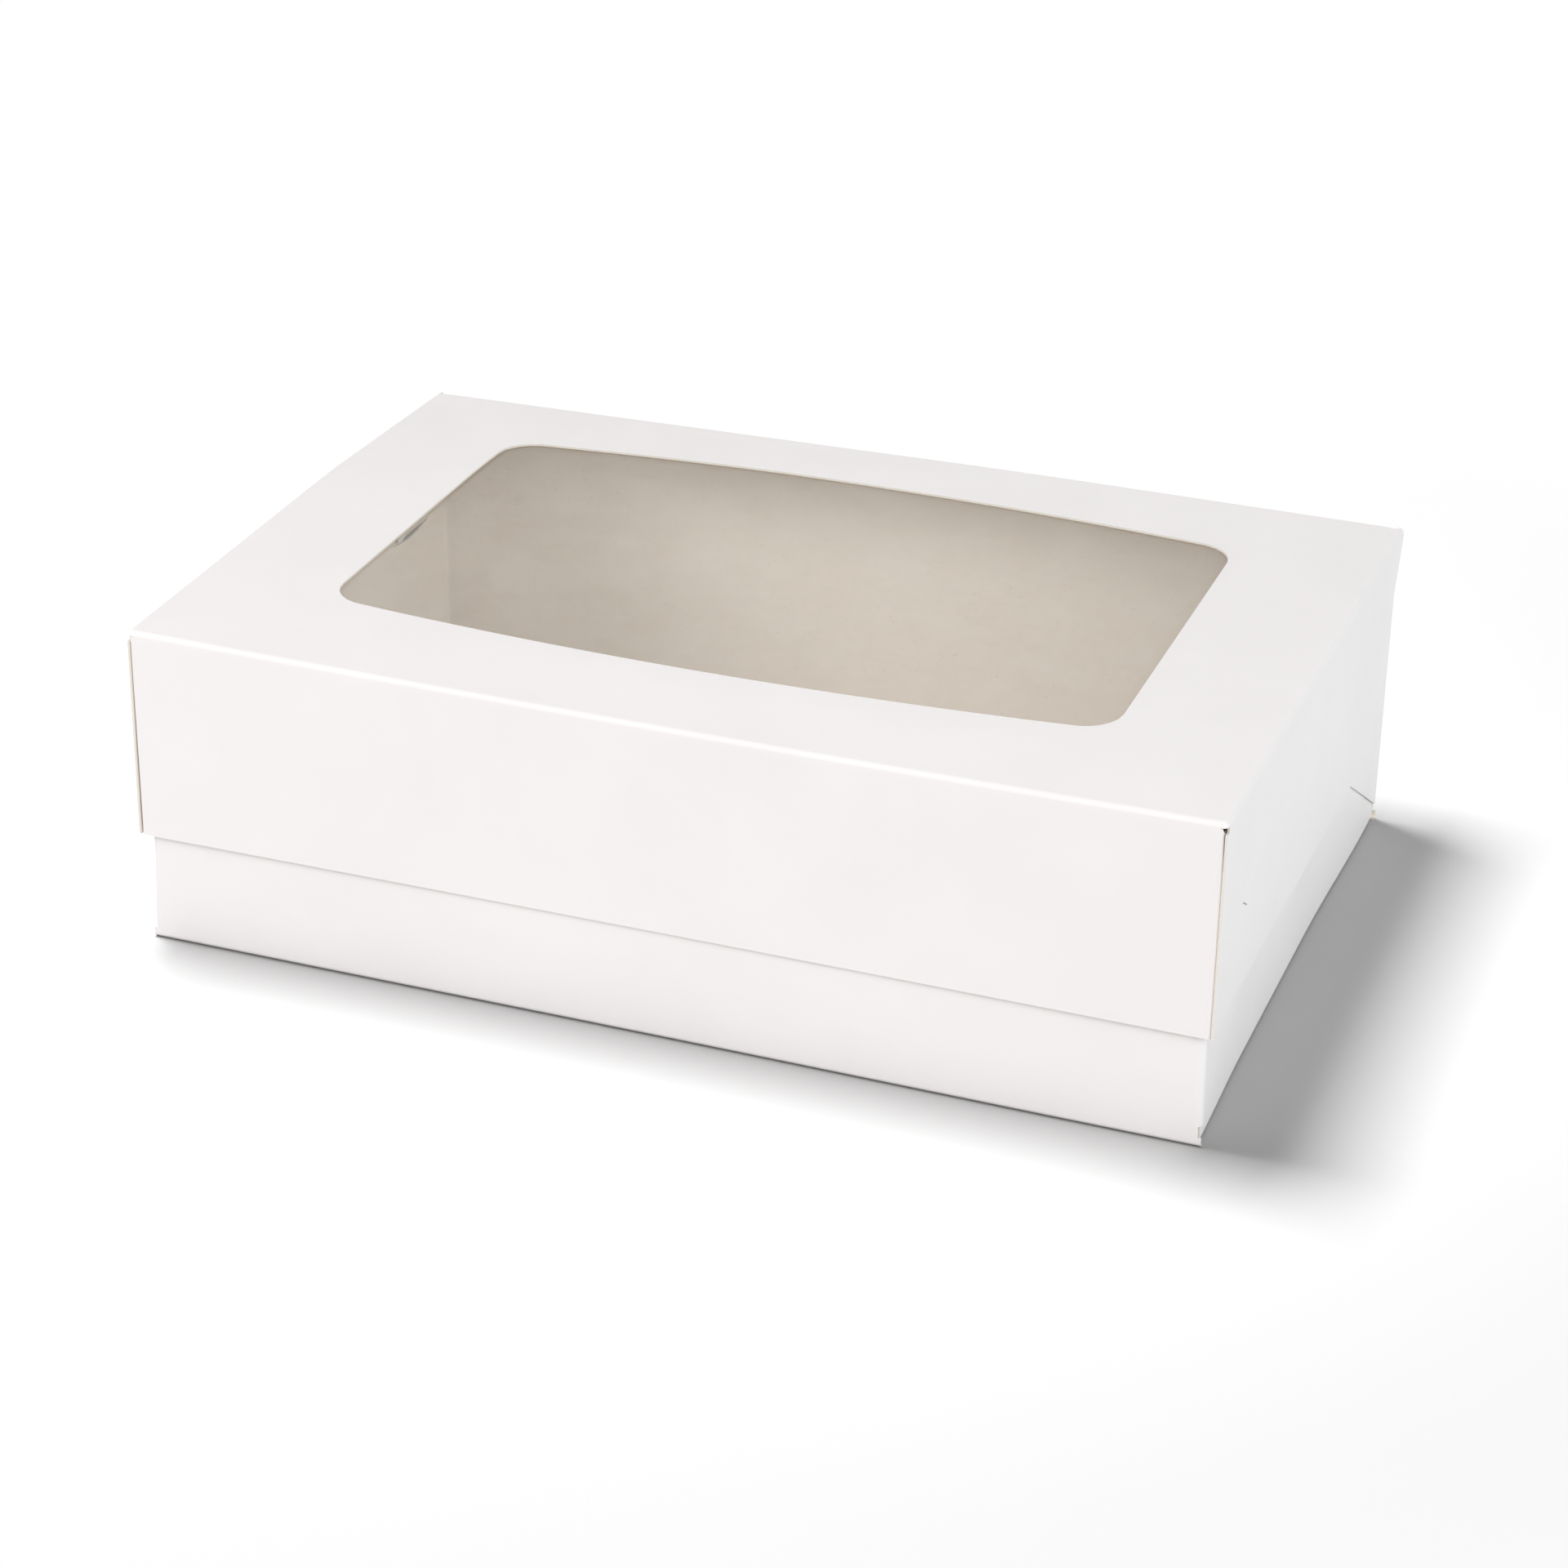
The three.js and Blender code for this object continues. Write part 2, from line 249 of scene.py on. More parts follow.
@dataclass
class Sheet:
    """A board as two grids of points, its outer and its inner face.

    Cells that `keep` leaves out are holes or lie outside the outline. Every edge between a
    kept cell and none gets a raw edge, so the sheet is closed.
    """

    outer: np.ndarray
    inner: np.ndarray
    keep: np.ndarray | None = None
    ring: bool = False

    def faces(self, first: int) -> tuple[np.ndarray, np.ndarray]:
        """The closed sheet's quads.

        Args:
            first: Index of the sheet's first vertex in its mesh.

        Returns:
            The quads, and the skin of each.
        """
        rows, columns = self.outer.shape[:2]
        index = np.arange(rows * columns).reshape(rows, columns) + first
        if self.ring:
            index = np.vstack([index, index[:1]])
        keep = np.ones((index.shape[0] - 1, columns - 1), bool) if self.keep is None else self.keep
        under = rows * columns
        a, b = index[:-1, :-1][keep], index[1:, :-1][keep]
        c, d = index[1:, 1:][keep], index[:-1, 1:][keep]
        coat = np.stack([a, b, c, d], 1)
        liner = coat[:, ::-1] + under
        raw = np.concatenate([self._rim(index, keep, 0), self._rim(index, keep, 1)])
        raw = np.stack([raw[:, 0], raw[:, 1], raw[:, 1] + under, raw[:, 0] + under], 1)
        quads = np.concatenate([coat, liner, raw])
        skins = np.repeat([s.value for s in Skin], [len(coat), len(liner), len(raw)])
        if self._turned(keep):
            quads = quads[:, ::-1]
        return quads, skins

    def _rim(self, index: np.ndarray, keep: np.ndarray, axis: int) -> np.ndarray:
        """Directed edges where the kept cells end, across one axis of the grid.

        Args:
            index: Vertex numbers of the grid.
            keep: Which cells are kept.
            axis: 0 for edges between rows, 1 for edges between columns.

        Returns:
            Pairs of vertices, run so that the raw edge faces out.
        """
        pad = [(0, 0), (0, 0)]
        pad[axis] = (1, 1)
        padded = np.pad(keep, pad).astype(int)
        if self.ring and axis == 0:
            padded[0] = keep[-1]
            padded[-1] = keep[0]
        step = np.diff(padded, axis=axis)
        if self.ring and axis == 0:
            step[-1] = 0
        if axis == 0:
            near, far = index[:, :-1], index[:, 1:]
        else:
            near, far = index[1:], index[:-1]
        start = np.stack([near[step > 0], far[step > 0]], 1)
        end = np.stack([far[step < 0], near[step < 0]], 1)
        return np.concatenate([start, end])

    def _turned(self, keep: np.ndarray) -> bool:
        """Whether the grid's own turn makes the outer face look inwards."""
        kept = keep[: self.outer.shape[0] - 1]
        a = self.outer[:-1, :-1][kept]
        b = self.outer[1:, :-1][kept]
        d = self.outer[:-1, 1:][kept]
        away = a - self.inner[:-1, :-1][kept]
        return float(np.sum(np.cross(b - a, d - a) * away)) < 0.0

    def moved(self, field: "Field") -> "Sheet":
        """The same sheet, bowed by a field."""
        return Sheet(field(self.outer), field(self.inner), self.keep, self.ring)


def folded(fold: Fold, along: np.ndarray, across: np.ndarray, board: float,
           keep: np.ndarray | None = None) -> Sheet:
    """A board that follows a fold.

    Args:
        fold: The fold.
        along: Distances along the crease.
        across: Distances over the outer face.
        board: The board's thickness.
        keep: Cells that are kept, or None for all.

    Returns:
        The sheet.
    """
    return Sheet(fold.points(along, across, 0.0), fold.points(along, across, board), keep)


class Field:
    """Base of the soft bows of a sub-assembly: moves points by a little."""

    def __call__(self, points: np.ndarray) -> np.ndarray:
        """The points, moved. Here they stay."""
        return points


@dataclass(frozen=True)
class CornerDip:
    """How far the back left corner has sunk, beyond a slanted line across it.

    With t = 1 at the corner and 0 on the line, the dip is the depth times half the sum of t
    and the root of t squared plus the softness squared.
    """

    plan: Plan
    depth: float = 2.4 * MM
    along_back: float = 150 * MM
    along_side: float = 59 * MM
    softness: float = 0.08

    def at(self, x: np.ndarray, y: np.ndarray) -> np.ndarray:
        """The dip at some places, in metres."""
        past = 1.0 - (x + self.plan.lid_side) / self.along_back
        past = past - (self.plan.lid_back - y) / self.along_side
        return self.depth * (past + np.sqrt(past**2 + self.softness**2)) / 2


@dataclass(frozen=True)
class LidBow(Field):
    """How the lid has settled.

    One hinge corner dips, the front edge sags, and flap and skirts lean in a little.
    """

    plan: Plan
    sag: float = 0.3 * MM
    edge_sag: float = 0.7 * MM
    edge_start: float = 55 * MM
    edge_depth: float = 20 * MM
    flap_lean: float = 0.5 * MM
    skirt_lean: float = 0.3 * MM
    lean_top: float = 4 * MM
    lean_end: float = 25 * MM
    lean_ease: float = 50 * MM
    front_start: float = 70 * MM
    flank_start: float = 112 * MM

    def __call__(self, points: np.ndarray) -> np.ndarray:
        """The points, moved by the sum of the bows.

        The sag is a cosine over the length, and so is the front edge's, which fades with the
        height. The leans grow with the depth below the lid's top.
        """
        plan = self.plan
        x, y, z = points[..., 0], points[..., 1], points[..., 2]
        share_x = np.cos(QUARTER * np.clip(x / plan.lid_side, -1.0, 1.0))
        share_y = np.cos(QUARTER * np.clip(y / plan.lid_back, -1.0, 1.0))
        depth = smooth(plan.lid_top - z, self.lean_top, plan.lid_top - plan.flap_foot)
        front = smooth(-y, self.front_start, -plan.lid_front)
        rim = smooth(-y, self.edge_start, -plan.lid_front)
        rim = rim * smooth(z, plan.lid_top - self.edge_depth, plan.lid_top)
        flank = smooth(np.abs(x), self.flank_start, plan.lid_ear_side)
        ahead = 1.0 - smooth(y, self.lean_end - self.lean_ease, self.lean_end)
        moved = points.copy()
        moved[..., 2] -= CornerDip(plan).at(x, y)
        moved[..., 2] -= self.sag * share_x * share_y
        moved[..., 2] -= self.edge_sag * share_x * rim
        moved[..., 1] += self.flap_lean * depth * front * share_x
        moved[..., 0] -= np.sign(x) * self.skirt_lean * depth * flank * (1.0 - front) * ahead
        return moved


@dataclass(frozen=True)
class TrayBow(Field):
    """How the tray has settled.

    It dips with the lid's corner, its walls bow inwards, its back fills the skirts, and the
    right end of its front foot stands a little forward.
    """

    plan: Plan
    bow: float = 0.5 * MM
    long_bow: tuple[float, float] = (70 * MM, 77 * MM)
    side_bow: tuple[float, float] = (110 * MM, 117 * MM)
    spread: float = 1.05 * MM
    spread_start: float = 15 * MM
    spread_gap: float = 6 * MM
    toe: float = 0.6 * MM
    toe_height: float = 25 * MM
    toe_start: float = -20 * MM
    tuck: float = 0.7 * MM
    front_start: float = 40 * MM
    flank_start: float = 60 * MM

    def __call__(self, points: np.ndarray) -> np.ndarray:
        """The points, moved by the sum of the bows.

        The dip is the lid's, eased in over the upper half. The walls' bow is a cosine along
        each wall, times the height's ease. The spread eases in towards the back and the sides.
        The toe falls with the height and grows to the right. The tuck draws the front left
        corner in, more with the height.
        """
        plan = self.plan
        x, y, z = points[..., 0], points[..., 1], points[..., 2]
        high = smooth(z, 0.0, plan.rim)
        share_x = np.cos(QUARTER * np.clip(x / plan.tray_side, -1.0, 1.0))
        share_y = np.cos(QUARTER * np.clip(y / plan.lid_back, -1.0, 1.0))
        on_long = smooth(np.abs(y), *self.long_bow)
        on_side = smooth(np.abs(x), *self.side_bow)
        flank = smooth(np.abs(x), self.flank_start, plan.tray_side)
        behind = smooth(y, self.spread_start, plan.tray_back - self.spread_gap)
        low = 1.0 - smooth(z, 0.0, self.toe_height)
        front = smooth(-y, self.front_start, -plan.tray_front)
        right = smooth(x, self.flank_start, plan.tray_side)
        left = smooth(-x, self.flank_start, plan.tray_side)
        moved = points.copy()
        moved[..., 2] -= CornerDip(plan).at(x, y) * high
        moved[..., 1] -= np.sign(y) * self.bow * high * share_x * on_long
        moved[..., 0] -= np.sign(x) * self.bow * high * share_y * on_side
        moved[..., 0] += np.sign(x) * self.spread * flank * behind
        moved[..., 1] -= self.toe * low * front * smooth(x, self.toe_start, plan.tray_side)
        moved[..., 0] += self.toe * low * front * right
        moved[..., 0] += self.tuck * (1.0 - low) * front * left
        return moved


class NodeGraph:
    """Builds one material's nodes with short calls."""

    def __init__(self, name: str) -> None:
        """Starts an empty material with a Principled shader and its output."""
        self.material = bpy.data.materials.new(name)
        self.material.use_nodes = True
        self.tree = self.material.node_tree
        self.tree.nodes.clear()
        self.shader = self.node("ShaderNodeBsdfPrincipled")
        output = self.node("ShaderNodeOutputMaterial")
        self.join(self.shader.outputs["BSDF"], output.inputs["Surface"])
        self.place = self.node("ShaderNodeTexCoord").outputs["Object"]

    def node(self, kind: str, **values: object) -> bpy.types.Node:
        """Adds a node and sets its attributes."""
        made = self.tree.nodes.new(kind)
        for key, value in values.items():
            setattr(made, key, value)
        return made

    def join(self, source: bpy.types.NodeSocket, target: bpy.types.NodeSocket) -> None:
        """Links two sockets."""
        self.tree.links.new(source, target)

    def stretched(self, scale: tuple[float, float, float]) -> bpy.types.NodeSocket:
        """Object coordinates, scaled on each axis."""
        mapping = self.node("ShaderNodeMapping")
        mapping.inputs["Scale"].default_value = scale
        self.join(self.place, mapping.inputs["Vector"])
        return mapping.outputs["Vector"]

    def noise(self, scale: float, detail: float = 3.0, roughness: float = 0.5,
              vector: bpy.types.NodeSocket | None = None) -> bpy.types.NodeSocket:
        """A noise over the surface.

        Args:
            scale: Grains per metre.
            detail: Number of finer layers.
            roughness: Share of each finer layer.
            vector: Coordinates, or None for the object's own.

        Returns:
            The noise's socket, from 0 to 1.
        """
        made = self.node("ShaderNodeTexNoise")
        made.inputs["Scale"].default_value = scale
        made.inputs["Detail"].default_value = detail
        made.inputs["Roughness"].default_value = roughness
        self.join(vector or self.place, made.inputs["Vector"])
        return made.outputs["Fac"]

    def spread(self, value: bpy.types.NodeSocket, low: float, high: float,
               start: float = 0.3, end: float = 0.7) -> bpy.types.NodeSocket:
        """Maps a value's range onto another one.

        Args:
            value: The value.
            low: Result at start.
            high: Result at end.
            start: Value that gives low.
            end: Value that gives high.

        Returns:
            The mapped socket.
        """
        made = self.node("ShaderNodeMapRange")
        made.inputs["From Min"].default_value = start
        made.inputs["From Max"].default_value = end
        made.inputs["To Min"].default_value = low
        made.inputs["To Max"].default_value = high
        self.join(value, made.inputs["Value"])
        return made.outputs["Result"]

    def blend(self, share: bpy.types.NodeSocket, first: object,
              second: object) -> bpy.types.NodeSocket:
        """Mixes two colours, each a tuple or a socket."""
        made = self.node("ShaderNodeMix", data_type="RGBA")
        self.join(share, made.inputs[0])
        for socket, colour in ((made.inputs[6], first), (made.inputs[7], second)):
            if isinstance(colour, tuple):
                socket.default_value = (*colour, 1.0)
            else:
                self.join(colour, socket)
        return made.outputs[2]

    def bump(self, height: bpy.types.NodeSocket, strength: float, distance: float,
             below: bpy.types.NodeSocket | None = None) -> bpy.types.NodeSocket:
        """A bump from a height.

        Args:
            height: Height, from 0 to 1.
            strength: Share of the bump.
            distance: Height of 1, in metres.
            below: Normal that it is laid over, or None.

        Returns:
            The normal's socket.
        """
        made = self.node("ShaderNodeBump")
        made.inputs["Strength"].default_value = strength
        made.inputs["Distance"].default_value = distance
        self.join(height, made.inputs["Height"])
        if below is not None:
            self.join(below, made.inputs["Normal"])
        return made.outputs["Normal"]

    def set(self, **values: object) -> None:
        """Sets or links the shader's inputs, named with underscores for spaces."""
        for key, value in values.items():
            socket = self.shader.inputs[key.replace("_", " ")]
            if isinstance(value, bpy.types.NodeSocket):
                self.join(value, socket)
            else:
                socket.default_value = value


@dataclass(frozen=True)
class CoatFinish:
    """Clay-coated white face: almost even, with faint clouds and a fine calendered grain."""

    light: tuple[float, float, float] = (0.905, 0.873, 0.866)
    cloud: tuple[float, float, float] = (0.885, 0.853, 0.846)

    def material(self) -> bpy.types.Material:
        """The coat's material."""
        graph = NodeGraph("coat")
        clouds = graph.spread(graph.noise(45.0, 2.0), 0.0, 1.0)
        grain = graph.noise(2600.0, 3.0, 0.6)
        wave = graph.noise(120.0, 2.0)
        gloss = graph.spread(graph.noise(300.0, 2.0), 0.47, 0.56)
        normal = graph.bump(wave, 0.12, 0.10 * MM)
        normal = graph.bump(grain, 0.10, 0.02 * MM, normal)
        colour = graph.blend(clouds, self.light, self.cloud)
        graph.set(Base_Color=colour, Roughness=gloss, Normal=normal, Specular_IOR_Level=0.3)
        return graph.material


@dataclass(frozen=True)
class LinerFinish:
    """Uncoated inner face: pale beige, clouded, with short fibres and flecks."""

    light: tuple[float, float, float] = (0.92, 0.845, 0.75)
    cloud: tuple[float, float, float] = (0.89, 0.81, 0.71)
    fleck: tuple[float, float, float] = (0.75, 0.65, 0.54)

    def material(self) -> bpy.types.Material:
        """The liner's material."""
        graph = NodeGraph("liner")
        clouds = graph.spread(graph.noise(70.0, 4.0, 0.6), 0.0, 1.0)
        fibres = graph.noise(900.0, 3.0, 0.6, graph.stretched((0.35, 1.0, 1.3)))
        flecks = graph.spread(graph.noise(1500.0, 1.0), 0.0, 0.6, 0.66, 0.76)
        colour = graph.blend(clouds, self.light, self.cloud)
        colour = graph.blend(graph.spread(fibres, 0.0, 0.35), colour, self.cloud)
        colour = graph.blend(flecks, colour, self.fleck)
        normal = graph.bump(fibres, 0.25, 0.05 * MM)
        rough = graph.spread(fibres, 0.82, 0.94)
        graph.set(Base_Color=colour, Roughness=rough, Normal=normal, Specular_IOR_Level=0.15)
        return graph.material


@dataclass(frozen=True)
class RawFinish:
    """Cut edge of the board: cream pulp with darker and lighter plies."""

    light: tuple[float, float, float] = (0.86, 0.825, 0.765)
    dark: tuple[float, float, float] = (0.74, 0.695, 0.62)

    def material(self) -> bpy.types.Material:
        """The raw edge's material."""
        graph = NodeGraph("raw_edge")
        plies = graph.noise(5200.0, 2.0, 0.7)
        fray = graph.noise(800.0, 3.0)
        colour = graph.blend(graph.spread(plies, 0.0, 1.0), self.light, self.dark)
        colour = graph.blend(graph.spread(fray, 0.0, 0.5), colour, self.light)
        normal = graph.bump(plies, 0.4, 0.04 * MM)
        rough = graph.spread(fray, 0.86, 0.97)
        graph.set(Base_Color=colour, Roughness=rough, Normal=normal, Specular_IOR_Level=0.1)
        return graph.material


@dataclass(frozen=True)
class FilmFinish:
    """Clear film: hardly there, with a faint gloss and slack ripples."""

    alpha: float = 0.09
    alpha_swing: float = 1.3
    cold: tuple[float, float, float] = (0.90, 0.92, 0.93)
    even: tuple[float, float, float] = (0.94, 0.95, 0.95)

    def material(self) -> bpy.types.Material:
        """The film's material."""
        graph = NodeGraph("film")
        slack = graph.noise(28.0, 2.0)
        clear = graph.spread(graph.noise(90.0, 2.0), self.alpha, self.alpha * self.alpha_swing)
        tint = graph.blend(slack, self.cold, self.even)
        normal = graph.bump(slack, 0.3, 0.6 * MM)
        graph.set(Base_Color=tint, Alpha=clear, Roughness=0.06, Normal=normal,
                  Specular_IOR_Level=0.5)
        return graph.material


@dataclass(frozen=True)
class GlueFinish:
    """Dried glue behind the film: cream, slightly glossy, with beads."""

    dark: tuple[float, float, float] = (0.66, 0.58, 0.47)
    light: tuple[float, float, float] = (0.72, 0.65, 0.54)

    def material(self) -> bpy.types.Material:
        """The glue's material."""
        graph = NodeGraph("glue")
        beads = graph.noise(420.0, 3.0)
        tone = graph.blend(graph.spread(beads, 0.0, 1.0), self.dark, self.light)
        rough = graph.spread(beads, 0.35, 0.55)
        normal = graph.bump(beads, 0.35, 0.05 * MM)
        graph.set(Base_Color=tone, Roughness=rough, Normal=normal, Specular_IOR_Level=0.4)
        return graph.material


@dataclass
class Workshop:
    """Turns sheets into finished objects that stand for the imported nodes."""

    board_skins: list[bpy.types.Material]
    soft_angle: float = math.radians(40.0)
    made: int = 0

    def finished(self, name: str, mesh: bpy.types.Mesh,
                 skins: list[bpy.types.Material]) -> bpy.types.Object:
        """Shades a mesh, gives it its materials and links it to the scene.

        Args:
            name: The object's name.
            mesh: The mesh.
            skins: Its materials by skin.

        Returns:
            The object, with no parent.
        """
        mesh.validate()
        mesh.shade_smooth()
        mesh.set_sharp_from_angle(angle=self.soft_angle)
        for material in skins:
            mesh.materials.append(material)
        made = bpy.data.objects.new(name, mesh)
        bpy.context.scene.collection.objects.link(made)
        return made

    def piece(self, node: str, body: str, sheets: list[Sheet], slot: str = "board",
              skins: list[bpy.types.Material] | None = None) -> bpy.types.Object:
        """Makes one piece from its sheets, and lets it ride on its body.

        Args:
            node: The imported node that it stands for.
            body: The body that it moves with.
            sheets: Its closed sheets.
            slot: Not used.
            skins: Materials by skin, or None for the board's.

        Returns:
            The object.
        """
        points: list[np.ndarray] = []
        quads: list[np.ndarray] = []
        marks: list[np.ndarray] = []
        count = 0
        for sheet in sheets:
            found, skin = sheet.faces(count)
            both = np.concatenate([sheet.outer.reshape(-1, 3), sheet.inner.reshape(-1, 3)])
            points.append(both)
            quads.append(found)
            marks.append(skin)
            count += len(both)
        used, renumbered = np.unique(np.concatenate(quads), return_inverse=True)
        coords = np.concatenate(points)[used]
        corners = renumbered.reshape(-1, 4)
        mesh = bpy.data.meshes.new(node + "_mesh")
        mesh.vertices.add(len(coords))
        mesh.vertices.foreach_set("co", coords.astype(np.float32).ravel())
        mesh.loops.add(corners.size)
        mesh.loops.foreach_set("vertex_index", corners.astype(np.int32).ravel())
        mesh.polygons.add(len(corners))
        mesh.polygons.foreach_set("loop_start", np.arange(0, corners.size, 4, dtype=np.int32))
        mesh.polygons.foreach_set("material_index", np.concatenate(marks).astype(np.int32))
        mesh.update(calc_edges=True)
        made = self.finished(node + "_sheet", mesh, skins or self.board_skins)
        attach(made, body)
        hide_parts(node)
        self.made += 1
        LOG.info("%s: %d faces", made.name, len(corners))
        return made


@dataclass
class Assembly:
    """Pieces that move as one body and that one field bows."""

    body: ClassVar[str]
    plan: Plan
    shop: Workshop

    def _add(self, node: str, sheets: list[Sheet], field: Field, slot: str = "board",
             skins: list[bpy.types.Material] | None = None) -> None:
        """Bows the sheets and makes the piece."""
        self.shop.piece(node, self.body, [sheet.moved(field) for sheet in sheets], slot, skins)


@dataclass
class Tray(Assembly):
    """Bottom, four walls and four locking ears."""

    body: ClassVar[str] = "tray"
    foot_radius: float = 1.0 * MM
    corner_radius: float = 1.6 * MM
    notch_foot: float = 2.1 * MM
    slit_near: float = 12 * MM
    slit_length: float = 21 * MM
    slit_low: float = 43.2 * MM
    slit_sag: float = 1.2 * MM
    slit_head: float = 46.6 * MM
    slit_arch: float = 0.7
    slit_clear: float = 0.6 * MM
    wall_setback: float = 4.5 * MM
    wall_foot_gap: float = 1.3 * MM
    wall_first_row: float = 2.2 * MM
    relief_foot: float = 6.6 * MM
    relief_slope: float = 4 * MM
    relief_step: float = 15 * MM
    relief_drop: float = 0.01 * MM
    relief_top: float = 27 * MM
    relief_narrow: float = 1.3 * MM
    relief_wide: float = 3.5 * MM
    relief_curl: float = 1.0 * MM
    notch_width: float = 0.7 * MM
    ear_end: float = 21 * MM
    ear_play: float = 0.04 * MM
    ear_settle: float = 4 * MM
    ear_slope: float = 5 * MM
    neck_lead: float = 2 * MM
    neck_ease: float = 1 * MM
    tongue_play: float = 1.3 * MM
    tongue_rise: float = 5 * MM
    tongue_inset: float = 1.2 * MM
    tongue_root: float = 7.5 * MM
    tongue_neck: float = 0.3
    tongue_drop: float = 0.7

    def build(self) -> None:
        """Makes every piece of the tray."""
        field = TrayBow(self.plan)
        self._add("bottom_panel", [self.bottom()], field)
        for end in End:
            self._add(f"{end.word}_wall", [self.long_wall(end)], field)
        for side in Side:
            self._add(f"{side.word}_wall", [self.side_wall(side)], field)
            for end in End:
                self._add(f"{end.word}_{side.word}_ear", self.ear(side, end), field)

    def _face(self, end: End) -> float:
        """Y of a long wall's outer face."""
        return self.plan.tray_front if end is End.FRONT else self.plan.tray_back

    def bottom(self) -> Sheet:
        """The bottom: a flat grid, coat down, that meets the walls' folds."""
        plan = self.plan
        front = plan.tray_front + self.foot_radius
        back = plan.tray_back - self.foot_radius
        x = np.linspace(-1.0, 1.0, 49)[:, None] * (plan.tray_side - self.foot_radius)
        x, y = np.broadcast_arrays(x, np.linspace(front, back, 33)[None, :])
        low = np.stack([x, y, np.zeros_like(x)], -1)
        return Sheet(low, low + np.array([0.0, 0.0, plan.board]))

    def long_wall(self, end: End) -> Sheet:
        """A long wall with the fold at its foot; notched where its ears begin."""
        plan = self.plan
        corner = (0.0, self._face(end), 0.0)
        fold = Fold(corner, (1, 0, 0), (0, -end.value, 0), (0, 0, 1), self.foot_radius)
        upper = plan.tray_ear_side - self.corner_radius
        shoulder = plan.tray_ear_side - self.notch_width
        half = spaced((0.0, 0), (upper, 40), (shoulder, 3), (plan.tray_ear_side, 2))
        along = np.concatenate([-half[:0:-1], half])[:, None]
        top = fold.arc + plan.rim - self.foot_radius
        step = fold.arc + self.notch_foot - self.foot_radius
        ear_foot = fold.arc + plan.ear_foot - self.foot_radius
        across = spaced((0.0, 0), (fold.arc, 8), (step, 4), (ear_foot, 3), (top, 28))[None, :]
        middle_x = (np.abs(along[1:, 0] + along[:-1, 0]) / 2)[:, None]
        middle_w = ((across[0, 1:] + across[0, :-1]) / 2)[None, :]
        keep = (middle_x < upper) | (middle_w < step)
        keep |= (middle_x < shoulder) & (middle_w < ear_foot)
        return folded(fold, along, across, plan.board, keep)

    def side_wall(self, side: Side) -> Sheet:
        """A side wall: its rows follow the lips of the two slits, its ends the relief cuts.

        With s the share along a slit, its hollow is one minus the square of 2 s - 1. The lower
        lip rises and the upper one drops by their sags times one minus the hollow.
        """
        plan = self.plan
        corner = (side.value * plan.tray_side, 0.0, 0.0)
        fold = Fold(corner, (0, 1, 0), (-side.value, 0, 0), (0, 0, 1), self.foot_radius)
        front = plan.tray_front + self.wall_setback
        back = plan.tray_back - self.wall_setback
        slit_front = plan.tray_front + self.slit_near
        slit_back = plan.tray_back - self.slit_near
        places = spaced((0.0, 0), (1.0, 6), (2.0, 16), (3.0, 24), (4.0, 16), (5.0, 6))
        stops = [front, slit_front, slit_front + self.slit_length,
                 slit_back - self.slit_length, slit_back, back]
        base = np.interp(places, range(6), stops)
        heights = spaced((0.0, 0), (1.0, 8), (2.0, 3), (3.0, 6), (4.0, 6), (5.0, 8), (6.0, 1),
                         (7.0, 12))
        rows = (self.wall_first_row, self.relief_step, self.relief_top, self.slit_low,
                self.slit_head, plan.rim)
        levels = [0.0, fold.arc, *(fold.arc + z - self.foot_radius for z in rows)]
        across = np.interp(heights, range(8), levels)
        grid_y, grid_w = np.meshgrid(base, across, indexing="ij")
        height = np.meshgrid(base, heights, indexing="ij")[1]
        span_front = (base - slit_front) / self.slit_length
        span_back = (slit_back - base) / self.slit_length
        share = np.where(base < 0.0, span_front, span_back)
        inside = np.clip(share, 0.0, 1.0)
        hollow = 1.0 - (2.0 * inside - 1.0) ** 2
        lip = self.slit_sag * (1.0 - hollow)
        near_slit = np.clip(1.0 - np.abs(height - 5.0), 0.0, 1.0)
        grid_w = grid_w + lip[:, None] * near_slit
        open_height = self.slit_head - self.slit_low - self.slit_sag
        head = open_height * (1.0 - hollow) * self.slit_arch
        over_slit = np.where(height >= 6.0, 1.0 - (height - 6.0), 0.0)
        grid_w = grid_w - head[:, None] * over_slit
        grid_z = grid_w - fold.arc + self.foot_radius
        grid_y = self._relieved(grid_y, grid_z, front, back)
        cell_share = (share[1:] + share[:-1]) / 2
        cut = ((cell_share > 0.0) & (cell_share < 1.0))[:, None]
        row = ((heights[1:] + heights[:-1]) / 2)[None, :]
        keep = ~(cut & (row > 5.0) & (row < 6.0))
        sheet = folded(fold, grid_y, grid_w, plan.board, keep)
        low = smooth(grid_z, self.relief_foot, self.relief_step)
        low = low * (1.0 - smooth(grid_z, self.relief_step, self.relief_top))
        end = smooth(np.abs(grid_y), abs(back) - self.wall_setback * 2, abs(back))
        curl = self.relief_curl * low * end * -side.value
        for face in (sheet.outer, sheet.inner):
            face[..., 0] += curl
        return sheet

    def _relieved(self, y: np.ndarray, z: np.ndarray, front: float, back: float) -> np.ndarray:
        """Draws a side wall's two ends in along the relief cuts.

        Args:
            y: The grid's places along the wall.
            z: Their heights.
            front: The wall's front end.
            back: The wall's back end.

        Returns:
            The places, drawn in near the ends.
        """
        reach = self.wall_foot_gap - self.wall_setback
        stops = [0.0, self.relief_foot, self.relief_foot + self.relief_slope,
                 self.relief_step - self.relief_drop, self.relief_step, self.relief_top, 1.0]
        cuts = [reach, reach, self.relief_wide, self.relief_wide, self.relief_narrow, 0.0, 0.0]
        cut = np.interp(z, stops, cuts)
        middle = (front + back) / 2
        share = (y - middle) / (back - middle)
        return y - np.sign(share) * cut * smooth(np.abs(share), 0.75, 1.0)

